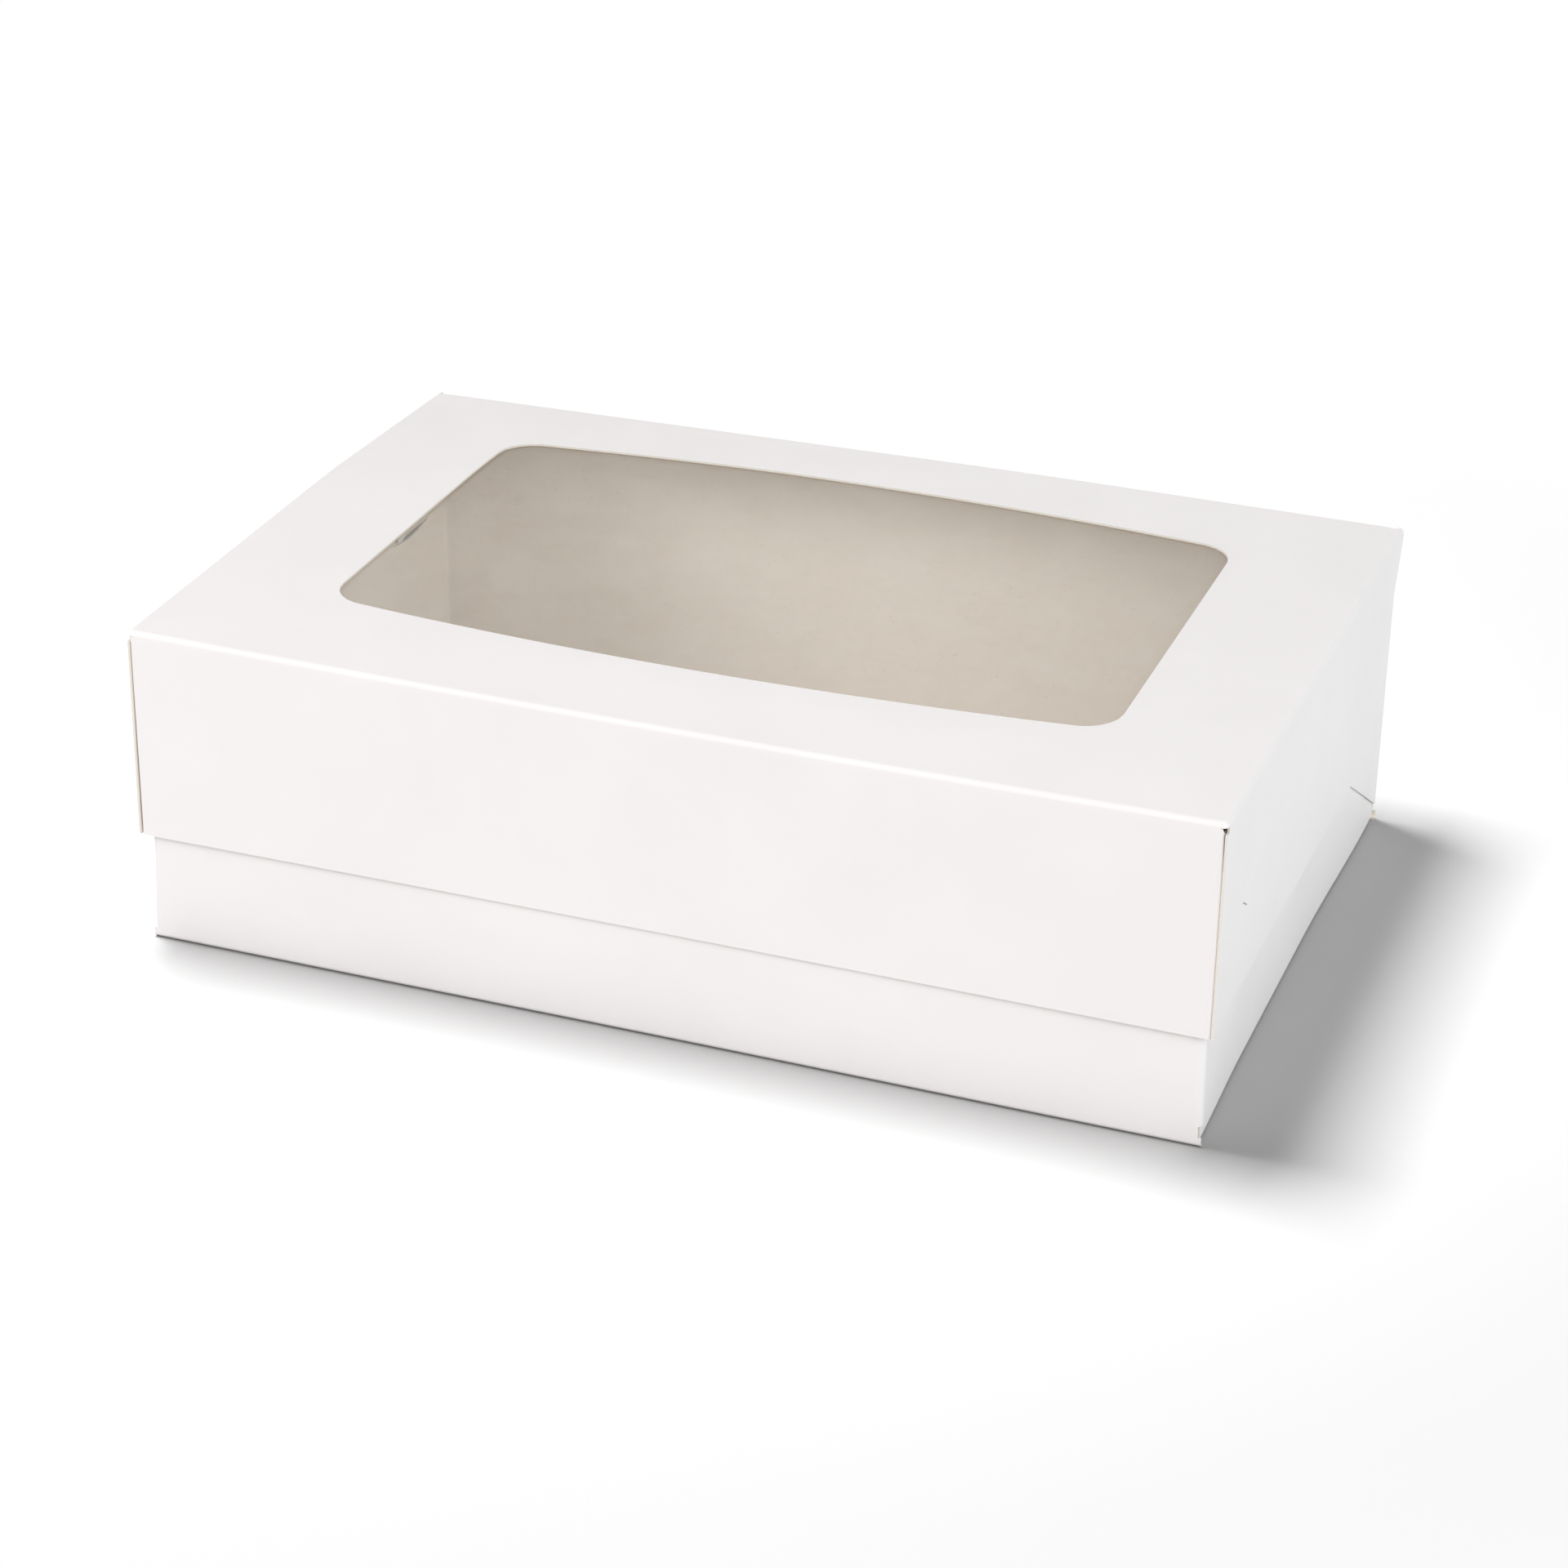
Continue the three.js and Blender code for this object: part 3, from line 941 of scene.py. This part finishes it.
    def ear(self, side: Side, end: End) -> list[Sheet]:
        """An ear: fold round the corner and plate on the side wall, then its tongue."""
        plan = self.plan
        corner = (side.value * plan.tray_ear_side, self._face(end), 0.0)
        inwards = (0, -end.value, 0)
        fold = Fold(corner, (0, 0, 1), (-side.value, 0, 0), inwards, self.corner_radius)
        reach = plan.ear_reach - self.corner_radius + fold.arc
        neck = self.slit_near - self.neck_lead
        root = reach - self.tongue_root
        dropped, rising = neck + self.neck_ease, root - self.neck_ease
        across = spaced((0.0, 0), (fold.arc, 8), (neck, 5), (dropped, 2), (rising, 8), (root, 2),
                        (reach, 5))
        head = plan.ear_head
        slit_level = self.slit_low + self.slit_sag + self.tongue_play
        under_slit = self.slit_low - self.slit_clear
        low = np.interp(across, [0.0, fold.arc, reach],
                        [plan.ear_foot, plan.ear_foot, slit_level - self.ear_end])
        high = np.interp(across, [0.0, fold.arc, neck, dropped, rising, root, reach],
                         [head, head, head - self.ear_slope, under_slit, under_slit, slit_level,
                          slit_level])
        share = np.linspace(0.0, 1.0, 33)[:, None]
        along = low[None, :] + (high - low)[None, :] * share
        plate = folded(fold, along, np.broadcast_to(across[None, :], along.shape), plan.board)
        rest = side.value * self._ear_rest() * smooth(across, fold.arc, fold.arc + self.ear_settle)
        for face in (plate.outer, plate.inner):
            face[..., 0] -= rest[None, :]
        return [plate, self._tongue(side, end, slit_level)]

    def _ear_rest(self) -> float:
        """How far an ear's plate lies in from its fold's face, to rest on the side wall."""
        plan = self.plan
        return plan.tray_ear_side - plan.board - plan.tray_side - self.ear_play

    def _tongue(self, side: Side, end: End, level: float) -> Sheet:
        """The ear's tongue: from the plate's edge in through the slit and up behind the wall.

        Its neck passes the slit at the end away from the corner, and widens to the full tongue
        behind the wall. Its free edge is half an ellipse.
        """
        plan = self.plan
        start = self.slit_near + self.tongue_inset
        length = self.slit_length - 2 * self.tongue_inset
        share = np.linspace(0.0, 1.0, 25)[:, None]
        rise = self.tongue_rise * np.sqrt(np.clip(1.0 - (2.0 * share - 1.0) ** 2, 0.0, 1.0))
        path = spaced((0.0, 0), (1.0, 4), (2.0, 8))[None, :]
        outside = plan.tray_ear_side - self._ear_rest() - plan.board / 2
        inside = plan.tray_side - 2 * plan.board
        x = outside + (inside - outside) * np.clip(path, 0.0, 1.0) * np.ones_like(share)
        z = level - plan.board * self.tongue_drop + rise * np.clip(path - 1.0, 0.0, 1.0)
        neck = self.tongue_neck
        width = np.interp(path, [0.0, 1.0, 1.4, 2.0], [neck, neck, 1.0, 1.0])
        y = self._face(end) - end.value * (start + length * (1.0 - width + width * share))
        middle = np.stack([side.value * x, y, z], -1)
        behind = (path > 1.0)[..., None]
        lift = np.where(behind, 0.0, 1.0) * np.array([0.0, 0.0, plan.board / 2])
        thick = np.where(behind, 1.0, 0.0) * np.array([side.value * plan.board / 2, 0.0, 0.0])
        return Sheet(middle - lift + thick, middle + lift - thick)


@dataclass
class Lid(Assembly):
    """Top panel with its window, front flap, skirts, ears, film and glue line."""

    body: ClassVar[str] = "lid"
    film_skins: list[bpy.types.Material]
    glue_skins: list[bpy.types.Material]
    fold_radius: float = 1.2 * MM
    plan_radius: float = 1.5 * MM
    ear_radius: float = 0.8 * MM
    hinge_radius: float = 1.0 * MM
    window_length: float = 176.2 * MM
    window_depth: float = 101.4 * MM
    window_bow: float = 4.2 * MM
    window_corner: float = 9 * MM
    window_aside: float = -0.5 * MM
    window_shift: float = 2.9 * MM
    notch: float = 1.3 * MM
    seam_gap: float = 0.12 * MM
    seam_press: float = 0.15 * MM
    seam_setback: float = 0.15 * MM
    seam_end: float = 15 * MM
    skirt_taper: float = 20 * MM
    skirt_hinge_depth: float = 3 * MM
    catch_back: float = 21 * MM
    catch_down: float = 28 * MM
    catch_half: float = 2 * MM
    catch_gap: float = 0.2 * MM
    catch_reach: float = 5 * MM
    notch_share: float = 0.2
    ear_taper: float = 6 * MM
    ear_head_gap: float = 0.1 * MM
    ear_head_turn: tuple[float, float] = (0.4, 0.8)
    film_slack: float = 0.25 * MM
    film_glued: float = 8 * MM
    film_free: float = 30 * MM
    glue_near: float = 2 * MM
    glue_width: float = 5 * MM
    glue_wobble: float = 0.25 * MM
    glue_waves: int = 19
    glue_places: int = 240
    edge_steps: int = 32
    depth_steps: int = 40
    corner_steps: int = 6

    def build(self) -> None:
        """Makes every piece of the lid."""
        field = LidBow(self.plan)
        corners = [self.corner(side) for side in Side]
        self._add("lid_top_panel", [self.panel(), *corners], field)
        self._add("lid_front_flap", [self.flap()], field)
        for side in Side:
            self._add(f"lid_{side.word}_skirt", [self.skirt(side)], field)
            self._add(f"lid_{side.word}_ear", [self.ear(side)], field)
        self._add("window_film", [self.film()], field, "film", self.film_skins)
        self._add("window_glue_line", [self.glue()], field, "glue", self.glue_skins)

    def window(self, turn: np.ndarray) -> np.ndarray:
        """The window's outline, by the share of its way round.

        Round corners join two straight ends and two long edges that swell as parabolas. The
        way starts at the middle of the front edge and runs towards the right.

        Args:
            turn: Shares of the way, from 0 to 1.

        Returns:
            Points with x and y.
        """
        half_x = self.window_length / 2
        half_y = self.window_depth / 2
        radius = self.window_corner
        run_x, run_y = half_x - radius, half_y - radius
        angle = np.linspace(0.0, QUARTER, 13)
        steps = np.linspace(-run_x, run_x, self.edge_steps + 1)
        swell = half_y + self.window_bow * (1.0 - (steps / run_x) ** 2)
        middle = self.edge_steps // 2
        parts = [
            np.stack([steps, -swell], 1)[middle:],
            np.stack([run_x + radius * np.sin(angle), -run_y - radius * np.cos(angle)], 1),
            np.stack([run_x + radius * np.cos(angle), run_y + radius * np.sin(angle)], 1),
            np.stack([-steps, swell], 1),
            np.stack([-run_x - radius * np.sin(angle), run_y + radius * np.cos(angle)], 1),
            np.stack([-run_x - radius * np.cos(angle), -run_y - radius * np.sin(angle)], 1),
            np.stack([steps, -swell], 1)[:middle + 1],
        ]
        line = np.concatenate(parts)
        gone = np.concatenate([[0.0], np.cumsum(np.hypot(*np.diff(line, axis=0).T))])
        place = turn * gone[-1]
        return np.stack([np.interp(place, gone, line[:, 0]) + self.window_aside,
                         np.interp(place, gone, line[:, 1]) + self.window_shift], -1)

    def panel(self) -> Sheet:
        """The top panel: a ring of lines from the window's edge to the folds.

        Each line runs straight from a point of the window's outline to the point of the panel's
        outline that faces it. Its front corners are round, by the plan's radius less the fold's.
        """
        plan = self.plan
        right = plan.lid_side - self.fold_radius
        front = plan.lid_front + self.fold_radius
        back = plan.lid_back - self.hinge_radius
        cut = self.plan_radius - self.fold_radius
        angle = np.linspace(0.0, QUARTER, self.corner_steps + 1)
        half = spaced((0.0, 0), (right - cut, 34))
        depth = np.linspace(front + cut, back, self.depth_steps + 1)
        parts = [
            np.stack([half, np.full_like(half, front)], 1)[:-1],
            np.stack([right - cut + cut * np.sin(angle), front + cut - cut * np.cos(angle)], 1),
            np.stack([np.full_like(depth, right), depth], 1)[1:],
        ]
        forward = np.concatenate(parts)
        back_run = np.linspace(right, -right, 70)[1:-1]
        behind = np.stack([back_run, np.full_like(back_run, back)], 1)
        mirrored = forward[::-1] * np.array([-1.0, 1.0])
        outline = np.concatenate([forward, behind, mirrored[:-1]])
        turn = self._matched(outline, forward, behind)
        hole = self.window(turn)
        share = spaced((0.0, 0), (0.02, 1), (1.0, 14))[None, :, None]
        flat = hole[:, None, :] * (1.0 - share) + outline[:, None, :] * share
        top = np.concatenate([flat, np.full(flat.shape[:2] + (1,), plan.lid_top)], -1)
        return Sheet(top, top - np.array([0.0, 0.0, plan.board]), None, True)

    def _matched(self, outline: np.ndarray, forward: np.ndarray, behind: np.ndarray) -> np.ndarray:
        """Finds the points of the window that face the points of the panel's outline.

        Corners face corners, and between them the shares run evenly with the points' number.

        Args:
            outline: The panel's outline, all the way round.
            forward: Its part from the middle of the front to the back right corner.
            behind: Its part along the back.

        Returns:
            Shares of the window's way round, one for each point.
        """
        half_x = self.window_length / 2
        half_y = self.window_depth / 2
        fine = np.linspace(0.0, 1.0, 4001)
        line = self.window(fine)
        signs = np.array([[1, -1], [1, 1], [-1, 1], [-1, -1]])
        wanted = signs * np.array([half_x, half_y])
        wanted += np.array([self.window_aside, self.window_shift])
        at = [fine[np.argmin(np.hypot(*(line - corner).T))] for corner in wanted]
        half, total = len(forward), len(outline)
        first = half - 1 - self.depth_steps - self.corner_steps // 2
        marks = [0, first, half - 1, half + len(behind), total - first, total]
        return np.interp(np.arange(total), marks, [0.0, *at, 1.0])

    def corner(self, side: Side) -> Sheet:
        """A front corner of the lid: the fold's round, turned about the corner's own axis."""
        plan = self.plan
        centre_x = side.value * (plan.lid_side - self.plan_radius)
        centre_y = plan.lid_front + self.plan_radius
        turn = np.linspace(0.0, QUARTER, 13)[:, None]
        arc = np.linspace(0.0, QUARTER, 9)[None, :]
        sheets = []
        for depth in (0.0, plan.board):
            round_off = self.fold_radius - depth
            out = self.plan_radius - self.fold_radius + round_off * np.sin(arc)
            height = plan.lid_top - self.fold_radius + round_off * np.cos(arc)
            x = centre_x + side.value * out * np.sin(turn)
            y = centre_y - out * np.cos(turn)
            sheets.append(np.stack([x, y, np.broadcast_to(height, x.shape)], -1))
        return Sheet(*sheets)

    def flap(self) -> Sheet:
        """The front flap with its fold; its ends meet the corners and the ears."""
        plan = self.plan
        corner = (0.0, plan.lid_front, plan.lid_top)
        fold = Fold(corner, (1, 0, 0), (0, 1, 0), (0, 0, -1), self.fold_radius)
        reach = plan.lid_side - self.plan_radius
        along = np.linspace(-reach, reach, 121)[:, None]
        foot = fold.arc + plan.lid_top - plan.flap_foot - self.fold_radius
        across = spaced((0.0, 0), (fold.arc, 12), (foot, 26))[None, :]
        return folded(fold, along, across, plan.board)

    def _skirt_depth(self, y: np.ndarray) -> np.ndarray:
        """Depth of a skirt below the lid's top: full, then slanting up to the hinge."""
        plan = self.plan
        full = plan.lid_top - plan.flap_foot
        return np.interp(y, [plan.lid_back - self.skirt_taper, plan.lid_back],
                         [full, self.skirt_hinge_depth])

    def skirt(self, side: Side) -> Sheet:
        """A skirt with its fold: notched at the corner, with the catch's slit."""
        plan = self.plan
        corner = (side.value * plan.lid_side, 0.0, plan.lid_top)
        fold = Fold(corner, (0, 1, 0), (-side.value, 0, 0), (0, 0, -1), self.fold_radius)
        start = plan.lid_front + self.seam_setback
        shoulder = plan.lid_front + self.plan_radius
        catch = plan.lid_front + self.catch_back
        along = spaced((start, 0), (shoulder, 3), (catch - self.catch_half, 12),
                       (catch + self.catch_half, 8), (plan.lid_back - self.skirt_taper, 40),
                       (plan.lid_back, 24))
        depth = self._skirt_depth(along)
        step = fold.arc + self.notch
        down = self.catch_down - self.fold_radius + fold.arc
        places = spaced((0.0, 0), (1.0, 10), (2.0, 2), (3.0, 10), (4.0, 1), (5.0, 10))
        foot = fold.arc + depth - self.fold_radius
        share = foot / foot.max()
        levels = np.stack([np.zeros_like(foot), np.full_like(foot, fold.arc),
                           np.minimum(step, fold.arc + (foot - fold.arc) * self.notch_share),
                           down * share - self.catch_gap, down * share + self.catch_gap, foot])
        index = np.floor(np.minimum(places, 4.999)).astype(int)
        within = places - index
        across = levels[index] * (1.0 - within)[:, None] + levels[index + 1] * within[:, None]
        grid_w = across.T
        lean = np.clip((along - catch) / self.catch_half, -1.0, 1.0) * self.catch_half
        near = np.clip(1.0 - np.abs(places - 3.5) / 1.5, 0.0, 1.0)
        bell = np.exp(-(((along - catch) / self.catch_reach) ** 2))
        grid_w = grid_w + (lean * bell)[:, None] * near[None, :]
        grid_y = np.broadcast_to(along[:, None], grid_w.shape)
        cell_y = (along[1:] + along[:-1]) / 2
        cell_p = (places[1:] + places[:-1]) / 2
        at_catch = np.abs(cell_y - catch) < self.catch_half
        slit = at_catch[:, None] & ((cell_p > 3.0) & (cell_p < 4.0))[None, :]
        notch = (cell_y < shoulder)[:, None] & (cell_p < 2.0)[None, :]
        return folded(fold, grid_y, grid_w, plan.board, ~(slit | notch))

    def ear(self, side: Side) -> Sheet:
        """A lid ear: fold round from the flap, then a plate behind the skirt."""
        plan = self.plan
        corner = (side.value * plan.lid_ear_side, plan.lid_front, 0.0)
        fold = Fold(corner, (0, 0, 1), (-side.value, 0, 0), (0, 1, 0), self.ear_radius)
        lip = plan.lid_ear_side - self.ear_radius - (plan.lid_side - self.plan_radius)
        end = fold.arc + plan.lid_ear_end - plan.lid_front - self.ear_radius
        across = spaced((-lip, 0), (0.0, 2), (fold.arc, 8), (end, 20))
        top = plan.lid_top - self.fold_radius
        notched = top - self.notch
        head = np.interp(across, [*(fold.arc * turn for turn in self.ear_head_turn), fold.arc, end],
                         [top - self.ear_head_gap, notched, notched, notched - self.ear_taper])
        taper = np.interp(across, [fold.arc, end], [0.0, self.ear_taper])
        share = np.linspace(0.0, 1.0, 41)[:, None]
        low = plan.flap_foot + taper
        along = low[None, :] + (head - low)[None, :] * share
        sheet = folded(fold, along, np.broadcast_to(across[None, :], along.shape), plan.board)
        return self._seamed(sheet, side, smooth(across, -lip, fold.arc))

    def _seamed(self, sheet: Sheet, side: Side, share: np.ndarray) -> Sheet:
        """Sets the seam between ear and skirt: it gapes at the top right and at the left foot.

        Args:
            sheet: The ear.
            side: Its side.
            share: How far each column follows, from 0 at the flap to 1 on the plate.

        Returns:
            The ear, with its plate drawn away from the skirt or laid against it.
        """
        top = self.plan.lid_top - self.fold_radius
        foot = self.plan.flap_foot
        moved = []
        for face in (sheet.outer, sheet.inner):
            z = face[..., 2]
            if side is Side.RIGHT:
                gape = smooth(z, top - self.seam_end, top)
            else:
                gape = smooth(-z, -top, -foot)
            out = self.seam_press - (self.seam_press + self.seam_gap) * gape
            placed = face.copy()
            placed[..., 0] += side.value * out * share[None, :]
            moved.append(placed)
        return Sheet(moved[0], moved[1], sheet.keep)

    def glue(self) -> Sheet:
        """The glue line: a flat ring round the window, whose edges waver as a sine."""
        low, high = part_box("window_glue_line")
        turn = np.linspace(0.0, 1.0, self.glue_places + 1)[:-1]
        hole = self.window(turn)
        ahead = np.roll(hole, -1, axis=0) - np.roll(hole, 1, axis=0)
        away = np.stack([ahead[:, 1], -ahead[:, 0]], 1) / np.hypot(*ahead.T)[:, None]
        waver = self.glue_wobble * np.sin(turn * self.glue_waves * 2 * math.pi)
        lines = self.glue_near + self.glue_width * np.array([0.0, 0.5, 1.0])
        across = lines[None, :] + waver[:, None]
        flat = hole[:, None, :] + away[:, None, :] * across[..., None]
        top = np.concatenate([flat, np.full(flat.shape[:2] + (1,), high.z)], -1)
        return Sheet(top, top - np.array([0.0, 0.0, high.z - low.z]), None, True)

    def film(self) -> Sheet:
        """The film: flat where it is glued, with slack waves of sines across the window."""
        low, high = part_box("window_film")
        x = np.linspace(low.x, high.x, 81)[:, None]
        y = np.linspace(low.y, high.y, 57)[None, :]
        x, y = np.broadcast_arrays(x, y)
        mask = smooth(np.minimum(x - low.x, high.x - x), self.film_glued, self.film_free)
        mask = mask * smooth(np.minimum(y - low.y, high.y - y), self.film_glued, self.film_free)
        wave = np.sin(x * 47.0 + y * 21.0) + 0.6 * np.sin(x * 19.0 - y * 63.0 + 1.3)
        top = high.z - mask * self.film_slack * (1.0 + 0.5 * wave)
        upper = np.stack([x, y, top], -1)
        return Sheet(upper, upper - np.array([0.0, 0.0, high.z - low.z]))


@dataclass
class Hinge:
    """The crease between back wall and lid."""

    plan: Plan
    shop: Workshop
    radius: float = 1.0 * MM
    end_gap: float = 1.6 * MM
    overlap: float = 0.6 * MM

    def build(self) -> None:
        """Makes the crease as a strip that blends from the lid to the tray."""
        plan = self.plan
        corner = (0.0, plan.lid_back, plan.lid_top)
        fold = Fold(corner, (1, 0, 0), (0, -1, 0), (0, 0, -1), self.radius)
        half = plan.tray_ear_side - self.end_gap
        along = np.linspace(-half, half, 81)[:, None]
        lower = fold.arc + plan.lid_top - self.radius - plan.rim + self.overlap
        across = spaced((0.0, 0), (fold.arc, 10), (lower, 2))[None, :]
        strip = folded(fold, along, across, plan.board).moved(LidBow(plan))
        made = self._strip(strip)
        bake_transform(made)
        LOG.info("%s blends over the hinge", made.name)

    def _strip(self, sheet: Sheet) -> bpy.types.Object:
        """The strip's object, with no parent."""
        quads, skins = sheet.faces(0)
        points = np.concatenate([sheet.outer.reshape(-1, 3), sheet.inner.reshape(-1, 3)])
        mesh = bpy.data.meshes.new("hinge_crease_mesh")
        mesh.from_pydata(points.tolist(), [], quads.tolist())
        mesh.polygons.foreach_set("material_index", skins.astype(np.int32))
        return self.shop.finished("hinge_crease", mesh, self.shop.board_skins)


def bearing(azimuth: float, elevation: float) -> Vector:
    """Direction from the box to a place round it.

    With a the azimuth and e the elevation it is sin a cos e, -cos a cos e and sin e.

    Args:
        azimuth: Degrees from the front towards the right.
        elevation: Degrees above the floor.

    Returns:
        The direction, of length 1.
    """
    turn, rise = math.radians(azimuth), math.radians(elevation)
    flat = math.cos(rise)
    return Vector((math.sin(turn) * flat, -math.cos(turn) * flat, math.sin(rise)))


@dataclass(frozen=True)
class Lamp:
    """A square soft box, placed by its direction from the object."""

    name: str
    azimuth: float
    elevation: float
    distance: float
    size: float
    level: float
    reach: Reach = Reach.ALL
    colour: tuple[float, float, float] = (1.0, 1.0, 1.0)

    def build(self, target: Vector, floor: bpy.types.Object) -> None:
        """Makes the lamp.

        A level of 1 lights a face square to it so that its colour renders as written: the
        power is pi squared times the distance squared.

        Args:
            target: The point that it looks at.
            floor: The floor, which a lamp may skip, or light alone.
        """
        back = bearing(self.azimuth, self.elevation)
        data = bpy.data.lights.new(self.name, "AREA")
        data.shape = "SQUARE"
        data.size = self.size
        data.energy = self.level * math.pi ** 2 * self.distance ** 2
        data.color = self.colour
        lamp = bpy.data.objects.new(self.name, data)
        lamp.location = target + back * self.distance
        lamp.rotation_mode = "QUATERNION"
        lamp.rotation_quaternion = back.to_track_quat("Z", "Y")
        bpy.context.scene.collection.objects.link(lamp)
        if self.reach is not Reach.ALL:
            linked = bpy.data.collections.new(self.name + "_links")
            linked.objects.link(floor)
            lamp.light_linking.receiver_collection = linked
            state = "EXCLUDE" if self.reach is Reach.BOX else "INCLUDE"
            linked.collection_objects[0].light_linking.link_state = state


@dataclass
class Studio:
    """Camera, floor, world and lamps."""

    azimuth: float = 19.745
    elevation: float = 26.666
    roll: float = 0.989
    distance: float = 0.9009
    target: tuple[float, float, float] = (0.0001, 0.0, 0.0234)
    lens: float = 92.02
    sensor: float = 36.0
    sky: float = 0.3
    floor_seen: float = 0.75
    floor_bounce: float = 0.56
    floor_size: float = 6.0
    floor_gap: float = 0.05 * MM
    plain_from: float = 0.24
    plain_to: float = 0.34

    def lamps(self) -> list[Lamp]:
        """Soft boxes all round for the box, and a lamp over the floor for its shadow."""
        return [
            Lamp("front_box", 0.0, 35.0, 1.3, 1.2, 0.24, Reach.BOX),
            Lamp("left_box", -90.0, 35.0, 1.3, 1.2, 0.24, Reach.BOX),
            Lamp("back_box", 180.0, 35.0, 1.3, 1.2, 0.09, Reach.BOX),
            Lamp("right_low_box", 92.0, 8.0, 1.3, 1.0, 0.42, Reach.BOX, (0.92, 1.0, 1.05)),
            Lamp("front_left_box", -45.0, 40.0, 1.3, 0.8, 0.35, Reach.BOX),
            Lamp("front_right_box", 50.0, 30.0, 1.3, 0.8, 0.29, Reach.BOX),
            Lamp("floor_lamp", -103.0, 74.5, 1.3, 0.46, 1.25, Reach.FLOOR),
        ]

    def build(self) -> None:
        """Makes the whole set."""
        self.camera()
        floor = self.floor()
        self.world()
        for lamp in self.lamps():
            lamp.build(Vector(self.target), floor)
        bpy.context.scene.view_settings.view_transform = "Standard"
        LOG.info("studio: camera, floor, world and lamps")

    def camera(self) -> None:
        """Places the camera by its direction, its distance and a small roll."""
        turn, roll = math.radians(self.azimuth), math.radians(self.roll)
        forward = -bearing(self.azimuth, self.elevation)
        level = Vector((math.cos(turn), math.sin(turn), 0.0))
        upright = level.cross(forward)
        right = level * math.cos(roll) + upright * math.sin(roll)
        up = upright * math.cos(roll) - level * math.sin(roll)
        data = bpy.data.cameras.new("camera")
        data.sensor_fit = "HORIZONTAL"
        data.sensor_width = self.sensor
        data.lens = self.lens
        camera = bpy.data.objects.new("camera", data)
        bpy.context.scene.collection.objects.link(camera)
        camera.matrix_world = Matrix((
            (right.x, up.x, -forward.x, 0.0),
            (right.y, up.y, -forward.y, 0.0),
            (right.z, up.z, -forward.z, 0.0),
            (0.0, 0.0, 0.0, 1.0),
        ))
        camera.location = Vector(self.target) - forward * self.distance
        bpy.context.scene.camera = camera

    def floor(self) -> bpy.types.Object:
        """A white floor that keeps the shadow near the box and is plain white further out."""
        half = self.floor_size / 2
        signs = ((-1, -1), (1, -1), (1, 1), (-1, 1))
        corners = [(x * half, y * half, -self.floor_gap) for x, y in signs]
        mesh = bpy.data.meshes.new("floor_mesh")
        mesh.from_pydata(corners, [], [(0, 1, 2, 3)])
        graph = NodeGraph("floor")
        seen = graph.node("ShaderNodeLightPath").outputs["Is Camera Ray"]
        bounce, shown = (self.floor_bounce,) * 3, (self.floor_seen,) * 3
        colour = graph.blend(seen, bounce, shown)
        graph.set(Base_Color=colour, Roughness=1.0, Specular_IOR_Level=0.0)
        white = graph.node("ShaderNodeEmission")
        white.inputs["Strength"].default_value = 1.0
        length = graph.node("ShaderNodeVectorMath", operation="LENGTH")
        graph.join(graph.place, length.inputs[0])
        far = graph.spread(length.outputs["Value"], 0.0, 1.0, self.plain_from, self.plain_to)
        share = graph.node("ShaderNodeMath", operation="MULTIPLY")
        graph.join(far, share.inputs[0])
        graph.join(seen, share.inputs[1])
        mix = graph.node("ShaderNodeMixShader")
        graph.join(share.outputs[0], mix.inputs[0])
        graph.join(graph.shader.outputs["BSDF"], mix.inputs[1])
        graph.join(white.outputs[0], mix.inputs[2])
        output = next(n for n in graph.tree.nodes if n.type == "OUTPUT_MATERIAL")
        graph.join(mix.outputs[0], output.inputs["Surface"])
        mesh.materials.append(graph.material)
        floor = bpy.data.objects.new("floor", mesh)
        bpy.context.scene.collection.objects.link(floor)
        return floor

    def world(self) -> None:
        """An even sky, and plain white where the camera or a reflection sees it."""
        world = bpy.data.worlds.new("sky")
        world.use_nodes = True
        tree = world.node_tree
        tree.nodes.clear()
        sky, white = (tree.nodes.new("ShaderNodeBackground") for _ in range(2))
        for light, strength in ((sky, self.sky), (white, 1.0)):
            light.inputs["Color"].default_value = (1.0, 1.0, 1.0, 1.0)
            light.inputs["Strength"].default_value = strength
        path = tree.nodes.new("ShaderNodeLightPath")
        seen, either = (tree.nodes.new("ShaderNodeMath") for _ in range(2))
        seen.operation = either.operation = "MAXIMUM"
        mix = tree.nodes.new("ShaderNodeMixShader")
        output = tree.nodes.new("ShaderNodeOutputWorld")
        for source, target in (
            (path.outputs["Is Camera Ray"], seen.inputs[0]),
            (path.outputs["Is Glossy Ray"], seen.inputs[1]),
            (seen.outputs[0], either.inputs[0]),
            (path.outputs["Is Transmission Ray"], either.inputs[1]),
            (either.outputs[0], mix.inputs[0]),
            (sky.outputs[0], mix.inputs[1]),
            (white.outputs[0], mix.inputs[2]),
            (mix.outputs[0], output.inputs["Surface"]),
        ):
            tree.links.new(source, target)
        bpy.context.scene.world = world


def main() -> None:
    """Builds the box and the studio in order."""
    logging.basicConfig(level=logging.INFO, format="%(name)s: %(message)s")
    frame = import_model()
    plan = Plan.from_frame()
    studio = Studio()
    studio.build()
    coat = CoatFinish().material()
    liner = LinerFinish().material()
    raw = RawFinish().material()
    film = FilmFinish().material()
    glue = GlueFinish().material()
    shop = Workshop([coat, liner, raw])
    Tray(plan, shop).build()
    Lid(plan, shop, [film] * len(Skin), [glue] * len(Skin)).build()
    Hinge(plan, shop).build()
    LOG.info("%d pieces stand for %d packed nodes", shop.made, len(frame["nodes"]))


if __name__ == "__main__":
    main()
